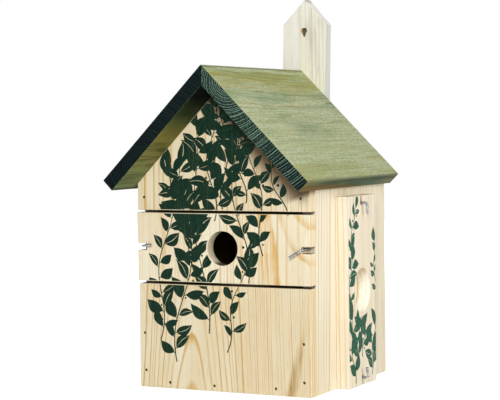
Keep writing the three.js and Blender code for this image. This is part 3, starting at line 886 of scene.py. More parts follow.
def stained_material(name, pith, seed, ends, knots):
    """Stained pine: sage green, olive towards the ridge and teal further down, fine dark fibres, soft
    knots, soaked dark end grain with pale rings, a brown and olive underside with painted shade that
    turns it near black towards the ridge, and edges where the stain is worn thin. Ends is the strength
    of the rings on the end grain."""
    stain = bpy.context.scene.nest_stain
    sage, end_ring = tuple(stain.sage), tuple(stain.end_ring)
    look = Look(name, sage)
    x, along, z = look.where.parts()
    across, drop = abs(x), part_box("right_roof_board")[1][2] - z
    slope, depth = (across + drop) * ROOT_HALF, (drop - across) * ROOT_HALF
    rings, grown = grow(look, pith, tilt=(90, 0, 0), rate=0.62, gain=-0.0009, waviness=9.0, draw=0.35,
                        knots=knots, knot_push=0.9, knot_stretch=(1.0, 0.45, 1.0))
    halo = largest(knot["Halo"] for knot in grown)

    # The upper face
    shifted = look.where + (seed, seed * 0.7, -seed)
    clouds = shifted.noise(75.0, stretch=(1.0, 0.07, 1.0))
    patches = shifted.noise(34.0, 4.0, 0.6, (1.0, 0.22, 1.0))
    speckle = shifted.noise(1100.0, 2.0, 0.6, (1.0, 0.14, 1.0))
    fibres = shifted.noise(900.0, 2.0, stretch=(1.0, 0.02, 1.0))
    olive = slope.ramp(12 * MM, 50 * MM, 1.0, 0.0) + slope.ramp(90 * MM, 150 * MM, 0.25, 0.75)
    teal = slope.ramp(20 * MM, 45 * MM) * slope.ramp(75 * MM, 110 * MM, 0.7, 0.1)
    dark = speckle.ramp(0.36, 0.64, -0.14, 0.38) + fibres.ramp(0.5, 0.64, 0.0, 0.38)
    look.colour = look.nodes.layers(look.colour, (
        ((clouds.ramp(0.4, 0.58) * olive).clamped(), tuple(stain.olive)),
        (patches.ramp(0.46, 0.66) * teal, tuple(stain.teal)),
        *roof_lines(along, slope, shifted),
        ((rings["Late"] * 0.12 + dark).clamped(), shade(128, 140, 92)),
        (halo * clouds.ramp(0.35, 0.6, 0.15, 0.55), shade(104, 130, 96)),
        (halo.ramp(0.8, 1.0, 0.0, 0.28), shade(206, 206, 154)),
    ))

    # The underside, with painted shade that darkens it towards the ridge
    _, facing_y, facing_z = look.outwards.parts()
    below = colour_ramp(look.nodes, slope.ramp(30 * MM, 150 * MM), UNDERSIDE_AND_RIDGE_SHADE_COLOURS)
    streaks = rings["Fibre"].ramp(0.4, 0.6) * patches.ramp(0.4, 0.56) * 0.8
    look.coat(facing_z.ramp(-0.1, 0.1, 1.0, 0.0), look.nodes.mix(streaks, below, shade(44, 58, 34)))

    # The edge along the eave
    split = along * -0.04 + (patches * 0.014 + depth)
    edge = look.nodes.layers(shade(114, 118, 74), (
        (along.ramp(-120 * MM, -70 * MM), shade(80, 100, 78)),
        (along.ramp(40 * MM, 80 * MM), shade(116, 114, 80)),
        (split.ramp(16.5 * MM, 19.5 * MM), shade(114, 92, 48)),
        (rings["Fibre"].ramp(0.42, 0.6, 0.0, 0.6), shade(60, 62, 36)),
        (depth.ramp(0.5 * MM, 2.2 * MM, 0.5, 0.0), shade(128, 116, 82)),
    ))
    look.coat(slope.ramp(147 * MM, 148.5 * MM) * depth.ramp(-1 * MM, 0.5 * MM), edge)

    # The sawn ends and the mitre
    ragged = look.where.noise(800.0, 3.0, 0.65)
    lit = rings["Late"].ramp(0.15, 0.6) * slope.ramp(0.0, 50 * MM, 1.0, 1.4) * ragged.ramp(0.3, 0.58)
    speckled = ragged.ramp(0.42, 0.7, 0.0, 0.34) * slope.ramp(80 * MM, 120 * MM, 1.0, 0.25)
    lit = (lit + speckled).clamped() * slope.ramp(90 * MM, 130 * MM, 1.0, 0.85)
    outside = across.ramp(0.5 * MM, 3 * MM).larger(drop.ramp(0.5 * MM, 2 * MM, 1.0, 0.0))
    look.coat(abs(facing_y).ramp(0.55, 0.9).larger(1.0 - outside),
              look.nodes.mix(lit * ends, tuple(stain.end_grain), end_ring))
    wear = group(look.nodes, "edge wear", {"Vector": look.where})["Wear"]
    look.coat(wear * outside * (0.3 + 0.3 * ends), look.nodes.mix(0.4, end_ring, sage))
    height = rings["Late"] * 0.6 - (rings["Fibre"] * 0.3 + speckle * 0.3)
    return look.finish(rings["Fibre"].ramp(0.3, 0.7, 0.55, 0.72), height, 0.5, 0.2 * MM, specular=0.07)


def print_material(name, ink):
    """Printed ink: matt green that the wood's fibres show through as fine paler and darker lines."""
    look = Look(name, ink)
    fine = look.where.noise(700.0, 3.0, 0.6, (1.0, 1.0, 0.03))
    look.coat(fine.ramp(0.5, 0.8, 0.0, 0.6), look.nodes.mix(0.22, ink, shade(150, 170, 130)))
    patches = look.where.noise(120.0, 3.0, 0.6)
    look.coat(patches.ramp(0.45, 0.75, 0.0, 0.35), look.nodes.mix(0.5, ink, shade(8, 20, 14)))
    return look.finish(fine.ramp(0.3, 0.7, 0.48, 0.64), fine, 0.3, 0.08 * MM, specular=0.12)


def metal_material(name, bright, dull, rough):
    """Metal: bright and dull patches of zinc or rust bloom, fine drawing marks and small dents."""
    look = Look(name, bright)
    bloom = look.where.noise(420.0, 3.0, 0.6)
    look.coat(bloom.ramp(0.38, 0.66), dull)
    height = bloom + look.where.noise(2600.0, 2.0)
    roughness = bloom.ramp(0.3, 0.7, rough - 0.08, rough + 0.14)
    return look.finish(roughness, height, 0.25, 0.05 * MM, metallic=1.0)


def wood_colours(kind=""):
    """The colours between the growth rings and of them: the front's, the walls' or the batten's."""
    wood = bpy.context.scene.nest_wood
    return tuple(getattr(wood, kind + "early")), tuple(getattr(wood, kind + "late"))


# Holes, screws and the places of pieces. The spare board's oval hole is given by half its length and
# half its breadth.

ENTRANCE_RADIUS = 16 * MM
SPARE_HOLE = (21.2 * MM, 18.5 * MM)
BATTEN_SCREWS = ("batten_screw_lower", "batten_screw_middle", "batten_screw_upper")


def corners(node):
    low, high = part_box(node)
    return np.array(low), np.array(high)


def middle_of(node):
    low, high = corners(node)
    return (low + high) / 2


def facing(sheet, direction):
    """The outward directions of a board's two faces: sheet 1 faces this way, sheet 0 the other way."""
    return np.where(sheet == 1, 1.0, -1.0)[..., None] * np.array(direction)


def add_upright_board(name, node, nails, material, low_rows, seed, front=True, pitched=True):
    """A board that faces front and back: sheet 0 is its rear face and sheet 1 its front one. Nails holds
    the starts of the names of its nails, whose pits lie in the front face or else in the rear one. A
    pitched board's top falls from its peak at the slope of the roof, and the rows above the height
    low_rows follow it."""
    low, high = corners(node)
    tallest = high[2] - low[2]
    middles = [middle_of(nail) for nail in sorted(frame["nodes"]) if nail.startswith(nails)]
    spots = [(x, z - low[2]) for x, _, z in middles]
    boards = bpy.context.scene.nest_boards
    wave, edge = boards.saw_wave, boards.edge_line

    def place(a, b, sheet):
        top = high[2] - (np.abs(a) if pitched else 0)
        height = stretched(b, low_rows, edge, tallest, top - low[2])
        inwards = (np.abs(a) / high[0]) ** 8 * np.where(a > 0, -1, 1) * 0.6
        x = a + wander(height, seed, 110 * MM, wave) * inwards
        z = low[2] + height + wander(a, seed + 5, 90 * MM, wave) * np.where(b < edge, 0.5, 0)
        y = np.where(sheet == 1, low[1], high[1])
        return np.stack([x, y, np.maximum(z, low[2])], -1), facing(sheet, (0, -1, 0))

    add_board(name, node, lines_along(low[0], high[0], [x for x, _ in spots]),
              lines_along(0, tallest, [z for _, z in spots]), place, material, pits=spots,
              pit_sheet=1 if front else 0)


# Pieces

class NEST_OT_lower_board(bpy.types.Operator):
    """Builds the lower front board with the pits of its seven nails"""

    bl_idname = "nest.lower_board"
    bl_label = "Lower front board"

    def execute(self, context):
        material = pine_material("pine_lower_board", wood_colours(), (-33, -46, 0), tilt=(3.2, -1.0, 0),
                                 rate=0.12, gain=0.0023, waviness=8, draw=0.3, contrast=1.1,
                                 marks=(resin_streak, sawn_sides_and_joint_shade))
        add_upright_board("lower_board", "lower_front_board", ("lower_nail", "floor_nail"), material,
                          2 * MM, 11, pitched=False)
        return {"FINISHED"}


class NEST_OT_gable_board(bpy.types.Operator):
    """Builds the gable front board with the pits of its two nails"""

    bl_idname = "nest.gable_board"
    bl_label = "Gable front board"

    def execute(self, context):
        material = pine_material("pine_gable_board", wood_colours(), (-28, -30, 0), tilt=(0.8, 1.5, 0),
                                 rate=0.12, gain=0.0016, waviness=7, contrast=0.95,
                                 marks=(painted_eave_shadow, sawn_sides_and_joint_shade))
        add_upright_board("gable_board", "gable_front_board", ("gable_nail",), material,
                          16.5 * MM, 23)
        return {"FINISHED"}


class NEST_OT_rear_wall(bpy.types.Operator):
    """Builds the rear wall with the pits of its nails"""

    bl_idname = "nest.rear_wall"
    bl_label = "Rear wall"

    def execute(self, context):
        material = pine_material("pine_rear_wall", wood_colours("side_"), (30, 140, 0),
                                 tilt=(1.0, 2.0, 0), rate=0.38, waviness=8,
                                 knots=[((38, 88, 132), 5.5), ((-52, 88, 205), 4)],
                                 marks=(rough_and_shaded_inside,))
        add_upright_board("rear_wall_board", "rear_wall", ("rear_nail", "rear_floor_nail"), material,
                          172.5 * MM, 31, front=False)
        return {"FINISHED"}


class NEST_OT_side_walls(bpy.types.Operator):
    """Builds the two side walls, their tops cut to the slope of the roof"""

    bl_idname = "nest.side_walls"
    bl_label = "Side walls"

    def execute(self, context):
        self.add_wall("left", -1, (-120, 12, 0), [((-90, -22, 92), 4.5)])
        self.add_wall("right", 1, (121, -93, 0), [])
        return {"FINISHED"}

    def add_wall(self, name, side, pith, knots):
        """Sheet 1 is a wall's outer face, and the inner face is higher by the wall's thickness."""
        low, high = corners(f"{name}_side_wall")
        thickness = high[0] - low[0]
        outer_height = high[2] - low[2] - thickness
        outer_x, inner_x = (high[0], low[0]) if side > 0 else (low[0], high[0])
        edge = bpy.context.scene.nest_boards.edge_line

        def place(a, b, sheet):
            height = np.where(sheet == 1, outer_height, outer_height + thickness)
            x = np.where(sheet == 1, outer_x, inner_x)
            z = low[2] + stretched(b, 4 * MM, edge, outer_height, height)
            return np.stack([x, a, z], -1), facing(sheet, (side, 0, 0))

        material = pine_material(f"pine_{name}_wall", wood_colours("side_"), pith, tilt=(1.5, 0.8, 0),
                                 rate=0.36, waviness=7, contrast=1.0, knots=knots,
                                 marks=(rough_and_shaded_inside,))
        add_board(f"{name}_wall", f"{name}_side_wall", lines_along(low[1], high[1]),
                  lines_along(0, outer_height), place, material)


class NEST_OT_floor(bpy.types.Operator):
    """Builds the floor board that lies between the walls"""

    bl_idname = "nest.floor"
    bl_label = "Floor board"

    def execute(self, context):
        low, high = corners("floor_board")
        material = pine_material("pine_floor", wood_colours("side_"), (30, 0, -34), tilt=(0, 91, 2),
                                 rate=0.36, waviness=8)

        def place(a, b, sheet):
            return np.stack([a, b, np.where(sheet == 1, high[2], low[2])], -1), facing(sheet, (0, 0, 1))

        add_board("floor_panel", "floor_board", lines_along(low[0], high[0]),
                  lines_along(low[1], high[1]), place, material)
        return {"FINISHED"}


class NEST_OT_roof(bpy.types.Operator):
    """Builds the two stained roof boards, mitred at the ridge"""

    bl_idname = "nest.roof"
    bl_label = "Roof boards"

    thickness = 13.5 * MM

    def execute(self, context):
        self.add_roof_board("left", -1, (-64, 0, 214), 3, 0.07, [((-60, -20, 243.5), 4)])
        self.add_roof_board("right", 1, (29, 0, 288), 8, 1.0, [
            ((28.2, -20, 275.3), 3.2), ((45.2, -45, 258.3), 2.6), ((62, 12, 241.5), 1.2)])
        return {"FINISHED"}

    def add_roof_board(self, name, side, pith, seed, ends, knots):
        """Rows run down the slope, and sheet 1 is the upper face. The ridge is mitred, so the lower
        face starts further down, and both faces' edges wander like sawn ones."""
        boards = bpy.context.scene.nest_boards
        node = f"{name}_roof_board"
        low, high = corners(node)
        inner, outer = sorted((abs(low[0]), abs(high[0])))
        slant = self.thickness / math.sqrt(2)
        width = (outer - inner) * math.sqrt(2)
        ridge = np.array([[inner, high[2] - 2 * slant], [inner, high[2]]])
        eave_z = high[2] - (outer - inner)
        eave = np.array([[outer - slant, eave_z - slant], [outer, eave_z]])
        wave = boards.saw_wave * 1.6

        def place(a, b, sheet):
            k = sheet.astype(int)
            share = b[..., None]
            section = ridge[k] * (1 - share) + eave[k] * share
            inwards = np.where(a < (low[1] + high[1]) / 2, 1.0, -1.0)
            end = inwards * np.abs(wander(b * (outer - inner) * math.sqrt(2), seed, 60 * MM, wave))
            y = a + end * np.clip(1 - (np.minimum(a - low[1], high[1] - a) / (4 * MM)), 0, 1)
            foot = np.abs(wander(a, seed + 3, 80 * MM, wave)) * np.clip((b - 0.97) / 0.03, 0, 1)
            x = side * (section[..., 0] - foot / math.sqrt(2))
            z = section[..., 1] + foot / math.sqrt(2)
            return np.stack([x, y, z], -1), facing(sheet, (side * ROOT_HALF, 0, ROOT_HALF))

        material = stained_material(f"stain_{name}_roof", pith, seed, ends, knots)
        add_board(f"{name}_roof", node, lines_along(low[1], high[1], cell=0.7),
                  lines_along(0, width) / width, place, material, boards.roof_arris)


class NEST_OT_entrance_board(bpy.types.Operator):
    """Builds the removable entrance board with its round hole and a notch in each end"""

    bl_idname = "nest.entrance_board"
    bl_label = "Entrance board"

    def execute(self, context):
        low, high = corners("entrance_board")
        centre_z = (low[2] + high[2]) / 2
        material = pine_material("pine_entrance_board", (shade(253, 243, 214), wood_colours()[1]),
                                 (105, -43, 134), rate=0.0, gain=0.0014, waviness=7, draw=0.35,
                                 contrast=0.5, marks=(branch_figure, sawn_sides_and_joint_shade))

        def place(u, v, depth):
            return np.stack([u, depth, centre_z + v], -1)

        add_entrance_board("entrance_panel", "entrance_board", "entrance_board", place, material,
                           half_length=high[0], overreach=-low[0] - high[0],
                           half_height=(high[2] - low[2]) / 2,
                           hole=(ENTRANCE_RADIUS, ENTRANCE_RADIUS), front=low[1], back=high[1])
        return {"FINISHED"}


class NEST_OT_spare_board(bpy.types.Operator):
    """Builds the spare entrance board with its oval hole, stored upright on the right-hand wall"""

    bl_idname = "nest.spare_board"
    bl_label = "Spare entrance board"

    def execute(self, context):
        low, high = corners("spare_entrance_board")
        centre = middle_of("spare_entrance_board")
        material = pine_material("pine_spare_board", (shade(240, 232, 214), shade(222, 196, 142)),
                                 (74, -62, 0), tilt=(1.0, 1.4, 0), rate=0.36, waviness=6, contrast=0.9,
                                 marks=(painted_light_and_shade_in_bore,))

        def place(u, v, depth):
            return np.stack([depth, centre[1] + v, centre[2] + u], -1)

        add_entrance_board("spare_panel", "spare_entrance_board", "spare_board", place, material,
                           half_length=(high[2] - low[2]) / 2, overreach=0.0,
                           half_height=(high[1] - low[1]) / 2, hole=SPARE_HOLE, front=high[0],
                           back=low[0])
        return {"FINISHED"}


class NEST_OT_batten(bpy.types.Operator):
    """Builds the hanging batten with its point, its drilled hole and the pits of its three screws"""

    bl_idname = "nest.batten"
    bl_label = "Hanging batten"

    lean = math.radians(1.56)
    foot_z = 22 * MM
    length = 352.516 * MM
    half_width = 23.5 * MM
    point_slope = math.tan(math.radians(47))
    hole_below_point = 31.4 * MM
    hole_radius = 3 * MM
    tail_length = 6 * MM
    tail_half = 0.7 * MM
    screw_radius = 3.7 * MM
    screw_depth = 2.4 * MM
    cutter_overreach = 5 * MM

    def execute(self, context):
        low, high = corners("hanging_batten")
        edge = context.scene.nest_boards.edge_line
        shoulder = self.length - self.half_width * self.point_slope
        material = pine_material("pine_batten", wood_colours("batten_"), (0, 30, 0), tilt=(0.5, 1.8, 0),
                                 rate=0.5, waviness=4, contrast=0.6, marks=(weathered_batten_and_hole_shade,))

        def place(a, b, sheet):
            top = self.length - np.abs(a) * self.point_slope
            height = stretched(b, shoulder - 4 * MM, edge, self.length, top)
            x, z = self.leaning(a, height - self.length / 2)
            return np.stack([x, np.where(sheet == 1, high[1], low[1]), z], -1), facing(sheet, (0, 1, 0))

        piece = add_board("batten", "hanging_batten", lines_along(-self.half_width, self.half_width),
                          lines_along(0, self.length), place, material)
        self.drill(context, piece, low[1], high[1])
        return {"FINISHED"}

    def leaning(self, across, up):
        """X and Z of a place on the leaning batten, measured from its middle."""
        x = across * math.cos(self.lean) + up * math.sin(self.lean)
        z = self.foot_z + self.length / 2 - across * math.sin(self.lean) + up * math.cos(self.lean)
        return x, z

    def drill(self, context, piece, front, rear):
        """Cuts the hanging hole, a circle whose lower side runs down to a narrow tail, and the screws'
        holes."""
        start = math.radians(-35)
        angle = np.linspace(start, math.pi - start, 28)
        middle = self.length / 2 - self.hole_below_point
        tail = middle - self.tail_length
        ring = np.concatenate([
            np.stack([np.cos(angle) * self.hole_radius, middle + np.sin(angle) * self.hole_radius], 1),
            [[-self.tail_half, tail], [self.tail_half, tail]],
        ])
        over = self.cutter_overreach
        x, z = self.leaning(ring[:, 0], ring[:, 1])
        cutters = [prism_object("hole_cutter", x, z, front - over, rear + over)]
        turn = np.linspace(0, 2 * np.pi, 32)[:-1]
        for screw in BATTEN_SCREWS:
            x, _, z = middle_of(screw)
            cutters.append(prism_object("screw_cutter", x + self.screw_radius * np.cos(turn),
                                        z + self.screw_radius * np.sin(turn), rear - self.screw_depth,
                                        rear + over))
        for cutter in cutters:
            cut = piece.modifiers.new("cut", "BOOLEAN")
            cut.operation = "DIFFERENCE"
            cut.solver = "EXACT"
            cut.object = cutter
        context.view_layer.update()
        mesh = bpy.data.meshes.new_from_object(piece.evaluated_get(context.evaluated_depsgraph_get()))
        piece.modifiers.clear()
        piece.data = mesh
        for cutter in cutters:
            bpy.data.objects.remove(cutter)


def prism_object(name, x, z, near, far):
    """A closed prism along Y from an outline of x and z."""
    count = len(x)
    points = np.concatenate([np.stack([x, np.full(count, y), z], 1) for y in (near, far)])
    one = np.arange(count)
    side = np.stack([one, (one + 1) % count, (one + 1) % count + count, one + count], 1).tolist()
    mesh = new_mesh(name, points, side + [one[::-1].tolist(), (one + count).tolist()])
    join_points(mesh, 1e-7)
    return new_object(name, mesh)


# Hooks, nails and screws

# The body and the joint of each hook's node, the length of its arm, the arm's angle and the length of
# its shaft, in millimetres and degrees
HOOKS = {
    "front_hook_left": ("hook_left", "front_hook_left_turn", 10.5, 10, 34.15),
    "front_hook_right": ("hook_right", "front_hook_right_turn", 15, 210, 34.15),
    "side_hook_top": ("hook_top", "side_hook_top_turn", 11.5, -80, 29.65),
    "side_hook_bottom": ("hook_bottom", "side_hook_bottom_turn", 11, 110, 29.65),
}
HOOK_POINT = 2.4 * MM
HOOK_THREAD = 7.2 * MM
HOOK_PITCH = 1.2 * MM
HOOK_THREAD_HEIGHT = 0.3 * MM
HOOK_CAP = 0.45 * MM


def hook_points(arm, shaft, corner, into, way):
    """A bent wire: a ring carried from the shaft's point along the shaft, round a curved bend and along
    the arm to its rounded tip. The thread near the point is a helix, and both ends close to a pole."""
    wire = bpy.context.scene.nest_wire
    radius, bend = wire.diameter / 2, wire.bend
    thread_start = shaft - HOOK_POINT
    thread_end = thread_start - HOOK_THREAD
    straight = np.concatenate([
        np.linspace(shaft, thread_start, 8), np.linspace(thread_start, thread_end, 60)[1:],
        np.linspace(thread_end - 0.2 * MM, bend, 6),
    ])
    t = np.linspace(0, 1, 14)[1:]
    tip = np.linspace(bend, arm - HOOK_CAP, 6)[1:]
    cap = np.linspace(0, 1, 7)[1:]
    depth = np.concatenate([straight, bend * (1 - t) ** 2, np.zeros(len(tip) + len(cap))])
    reach = np.concatenate([np.zeros(len(straight)), bend * t**2, tip, arm - HOOK_CAP + HOOK_CAP * cap])
    size = np.full(len(depth), radius)
    size[:8] = np.linspace(0, radius * 0.9, 8)
    size[-len(cap):] = radius * np.sqrt(np.clip(1 - cap**2, 0, 1))
    line = np.stack([depth, reach], 1)
    step = np.gradient(line, axis=0)
    step = step / np.linalg.norm(step, axis=1, keepdims=True)
    angle = np.linspace(0, 2 * np.pi, wire.sides, endpoint=False)[:, None]
    threaded = (depth > thread_end) & (depth < thread_start)
    phase = (depth[None, :] / HOOK_PITCH + angle / (2 * np.pi)) % 1
    ridge = HOOK_THREAD_HEIGHT * (1 - np.abs(2 * phase - 1))
    rings = size[None, :] + np.where(threaded[None, :], ridge, 0)
    normal = step[:, 1:] * into - step[:, :1] * way
    centre = corner + line[:, :1] * into + line[:, 1:] * way
    around = np.cos(angle)[..., None] * normal[None] + np.sin(angle)[..., None] * np.cross(into, way)
    return centre[None] + rings[..., None] * around


def turned(profile, sides, centre, axis):
    """Points of a turned piece: a profile of radius and depth carried round an axis along Y that points
    into the wood."""
    profile = np.asarray(profile)
    angle = np.linspace(0, 2 * np.pi, sides, endpoint=False)
    axis, side = np.array(axis, float), np.array([1.0, 0, 0])
    round_part = (np.cos(angle)[:, None, None] * side
                  + np.sin(angle)[:, None, None] * np.cross(axis, side))
    return centre + round_part * profile[None, :, :1] + axis * profile[None, :, 1:]


def add_tube(name, node, points, material, body):
    add_piece(name, points, tube_faces(*points.shape[:2]), material, body, (node,))


class NEST_OT_hooks(bpy.types.Operator):
    """Builds the four bent wire hooks at their joints"""

    bl_idname = "nest.hooks"
    bl_label = "Hooks"

    def execute(self, context):
        zinc = metal_material("zinc_hooks", shade(198, 200, 203), shade(124, 127, 132), 0.34)
        joints = {joint["name"]: joint for joint in frame["joints"]}
        for node, (body, joint, arm, angle, shaft) in HOOKS.items():
            across, up = math.cos(math.radians(angle)), math.sin(math.radians(angle))
            front = node.startswith("front")
            into = np.array((0.0, 1.0, 0.0) if front else (-1.0, 0.0, 0.0))
            way = np.array((across, 0.0, up) if front else (0.0, across, up))
            corner = np.array(joints[joint]["pos_m"], float)
            points = hook_points(arm * MM, shaft * MM, corner, into, way)
            add_tube(f"{node}_wire", node, points, zinc, body)
        return {"FINISHED"}


class NEST_OT_nails(bpy.types.Operator):
    """Builds the round nails that hold the boards, each with a slightly domed head"""

    bl_idname = "nest.nails"
    bl_label = "Nails"

    head_radius = 1.3 * MM
    head_height = 0.8 * MM
    dome_height = 0.12 * MM
    shank_radius = 0.8 * MM
    shank_start = 0.9 * MM
    point_length = 2.2 * MM

    def execute(self, context):
        steel = metal_material("nail_steel", shade(122, 104, 84), shade(80, 62, 46), 0.5)
        head, shank = self.head_radius, self.shank_radius
        dome = [(head * share, self.dome_height * share**2) for share in np.linspace(0, 1, 5)]
        for node in sorted(name for name in frame["nodes"] if "_nail_" in name):
            low, high = corners(node)
            x, y, z = middle_of(node)
            length = high[1] - low[1]
            profile = dome + [(head, self.head_height), (shank, self.shank_start),
                              (shank, length - self.point_length), (0, length)]
            top_y, way = (high[1], -1) if y > 0 else (low[1], 1)
            points = turned(profile, 24, np.array([x, top_y, z]), (0, way, 0))
            add_tube(f"{node}_round", node, points, steel, "box")
        return {"FINISHED"}


class NEST_OT_screws(bpy.types.Operator):
    """Gives the three screws of the batten their finish"""

    bl_idname = "nest.screws"
    bl_label = "Batten screws"

    def execute(self, context):
        steel = metal_material("screw_steel", shade(206, 196, 150), shade(160, 146, 104), 0.34)
        for screw in BATTEN_SCREWS:
            materials = frame["nodes"][screw].data.materials
            materials.clear()
            materials.append(steel)
        return {"FINISHED"}


# Printed leaves

# Rising stems on the front: where each starts and ends, across and up, as shares of half the width and
# of the height, its sideways sway as a share of half the width, its pairs of leaves and their length as
# such a share
FRONT_STEMS = (
    (-0.78, 0.16, -0.62, 0.62, 0.06, 8, 0.21),
    (-0.50, 0.09, -0.40, 0.74, -0.09, 11, 0.23),
    (-0.20, 0.19, -0.34, 0.86, 0.06, 12, 0.24),
    (0.02, 0.13, 0.24, 0.42, 0.04, 4, 0.19),
    (0.26, 0.36, 0.14, 0.90, 0.07, 9, 0.21),
    (0.50, 0.45, 0.34, 0.82, -0.05, 6, 0.19),
    (0.74, 0.58, 0.52, 0.76, 0.03, 3, 0.16),
    (-0.12, 0.56, -0.10, 0.92, 0.06, 7, 0.26),
    (0.04, 0.60, 0.04, 0.95, -0.05, 6, 0.25),
    (-0.52, 0.55, -0.62, 0.74, 0.03, 3, 0.22),
    (-0.30, 0.40, -0.56, 0.70, -0.05, 5, 0.24),
    (0.26, 0.62, 0.20, 0.86, 0.04, 4, 0.22),
)
# The same on the spare board, as shares of half its breadth and of its height
SPARE_STEMS = (
    (-0.60, 0.02, -0.84, 0.34, 0.10, 4, 0.66),
    (-0.46, 0.10, -0.24, 0.34, 0.08, 3, 0.60),
    (0.02, 0.15, 0.12, 0.36, -0.10, 3, 0.62),
    (0.60, 0.04, 0.94, 0.33, 0.10, 4, 0.60),
    (-0.98, 0.42, -0.80, 0.66, 0.08, 4, 0.52),
    (-0.90, 0.66, -0.52, 0.93, 0.08, 4, 0.40),
    (0.98, 0.46, 0.86, 0.74, 0.06, 4, 0.40),
)
# How far a print keeps from a board's outline and from the rim of its hole
OUTLINE_MARGIN = 0.7 * MM
RIM_MARGIN = 0.9 * MM
# How deep a print's lower layer lies in the wood, and how much higher each overlapping leaf lies
PRINT_SINK = 0.03 * MM
LEVEL_STEP = 0.008 * MM
# Grids of less area or breadth than these are dropped from a film
SMALLEST_AREA = 0.3 * MM * MM
SMALLEST_BREADTH = 0.1 * MM
# The second power of a berry's outline, which is lower than that of any leaf
BERRY_POWER = 0.5


def directions(angles):
    return np.stack([np.cos(angles), np.sin(angles)], 1)


def rising_stems(stems, half_width, height, seed):
    """Stems, leaves and berries: each stem is a line with a sideways sway, its leaves stand in pairs
    that point forwards, one leaf ends it, and berries sit at some forks. A leaf's row holds its foot,
    heading, length, breadth, the two powers of its outline and its midrib's gap."""
    rng = np.random.default_rng(seed)
    lines, rows = [], []
    for start_a, start_b, end_a, end_b, sway, pairs, size in stems:
        t = np.linspace(0, 1, 60)
        swayed = sway * np.sin(2 * np.pi * (t * 1.2 + 0.1))
        line = np.stack([
            (start_a + (end_a - start_a) * t + swayed) * half_width,
            (start_b + (end_b - start_b) * t) * height,
        ], 1)
        lines.append(line)
        way = np.gradient(line, axis=0)
        at = (np.arange(pairs) + 0.6 + rng.uniform(-0.2, 0.2, pairs)) / (pairs + 0.4)
        at = np.append(np.repeat(at, 2) + np.tile([0.0, 0.25 / pairs], pairs), 1.0)
        foot = np.stack([np.interp(at, t, line[:, k]) for k in (0, 1)], 1)
        ahead = np.interp(at, t, np.unwrap(np.arctan2(way[:, 1], way[:, 0])))
        side = np.append(np.tile([1.0, -1.0], pairs), 0.0)
        heading = ahead + side * rng.uniform(0.55, 1.15, len(at))
        length = size * half_width * rng.uniform(0.75, 1.2, len(at)) * np.append(np.ones(2 * pairs), 1.2)
        slim = rng.uniform(0.36, 0.56, len(at))
        rib = np.where(rng.random(len(at)) < 0.45, 0.022, 0.0)
        rows.append(np.column_stack([foot, heading, length, length * slim,
                                     rng.uniform(0.75, 0.95, len(at)), rng.uniform(0.75, 0.95, len(at)),
                                     rib]))
        berries = rng.random(len(at)) < 0.3
        count = berries.sum()
        radius = rng.uniform(0.9, 1.4, count) * MM * 2
        turn = ahead[berries] - side[berries] * 0.9 + rng.uniform(-0.4, 0.4, count)
        rows.append(np.column_stack([foot[berries] + 1.5 * radius[:, None] * directions(turn), turn,
                                     radius, radius, np.ones(count), np.full(count, BERRY_POWER),
                                     np.zeros(count)]))
    return lines, np.concatenate(rows)


def leaf_grid(leaves):
    """Points of all leaves in their plane: each half runs from the midrib to the margin, which swells as
    a power of the sine of a power of the way along, and the leaf bows to one side."""
    t = np.linspace(0, 1, 25)
    foot = leaves[:, :2]
    heading, length, breadth, early, late, rib = leaves[:, 2:, None].transpose(1, 0, 2)
    margin = np.maximum(np.sin(np.pi * t[None] ** early), 0) ** (late + 0.35 * t[None]) / 2
    gap = rib * np.sin(np.pi * t)[None]
    bow = 0.09 * np.sin(np.pi * t)[None] * length * np.sign(np.cos(heading * 7))
    along = directions(leaves[:, 2])
    aside = np.stack([-along[:, 1], along[:, 0]], 1)
    stalk = np.where(late > BERRY_POWER, 0.1, 0.0)
    reach = (stalk + (1 - stalk) * t[None]) * length
    shares = np.linspace(0, 1, 4)
    halves = []
    for side in (-1, 1):
        offset = gap[..., None] * (1 - shares) + margin[..., None] * shares
        across = side * offset * breadth[..., None] + bow[..., None]
        halves.append(foot[:, None, None, :] + reach[..., None, None] * along[:, None, None, :]
                      + across[..., None] * aside[:, None, None, :])
    return np.concatenate(halves)


def stalk_lines(leaves):
    """Short stalks that join each leaf's foot to its stem, as lines of five points."""
    t = np.linspace(0, 0.14, 5)
    return [leaf[:2] + t[:, None] * leaf[3] * way for leaf, way in zip(leaves, directions(leaves[:, 2]))]


def strip_grid(line, width):
    """A strip of this width along a line, four points across, as one grid that narrows to its end."""
    step = np.gradient(line, axis=0)
    step = step / np.linalg.norm(step, axis=1, keepdims=True)
    aside = np.stack([-step[:, 1], step[:, 0]], 1)
    share = np.linspace(-0.5, 0.5, 4)
    narrowing = np.linspace(1, 0.55, len(line))[:, None, None]
    return line[:, None, :] + share[None, :, None] * width * narrowing * aside[:, None, :]


def film_levels(grids):
    """A level for each grid such that grids that may overlap have different ones: the first level that
    none of the earlier grids near it has."""
    middles = np.array([grid.reshape(-1, 2).mean(axis=0) for grid in grids])
    reaches = np.array([np.linalg.norm(grid.reshape(-1, 2) - middle, axis=1).max()
                        for grid, middle in zip(grids, middles)])
    apart = np.linalg.norm(middles[:, None] - middles[None], axis=-1)
    near = apart < reaches[:, None] + reaches[None]
    levels = np.zeros(len(grids), int)
    for n in range(1, len(grids)):
        levels[n] = np.setdiff1d(np.arange(n + 1), levels[:n][near[n, :n]])[0]
    return levels


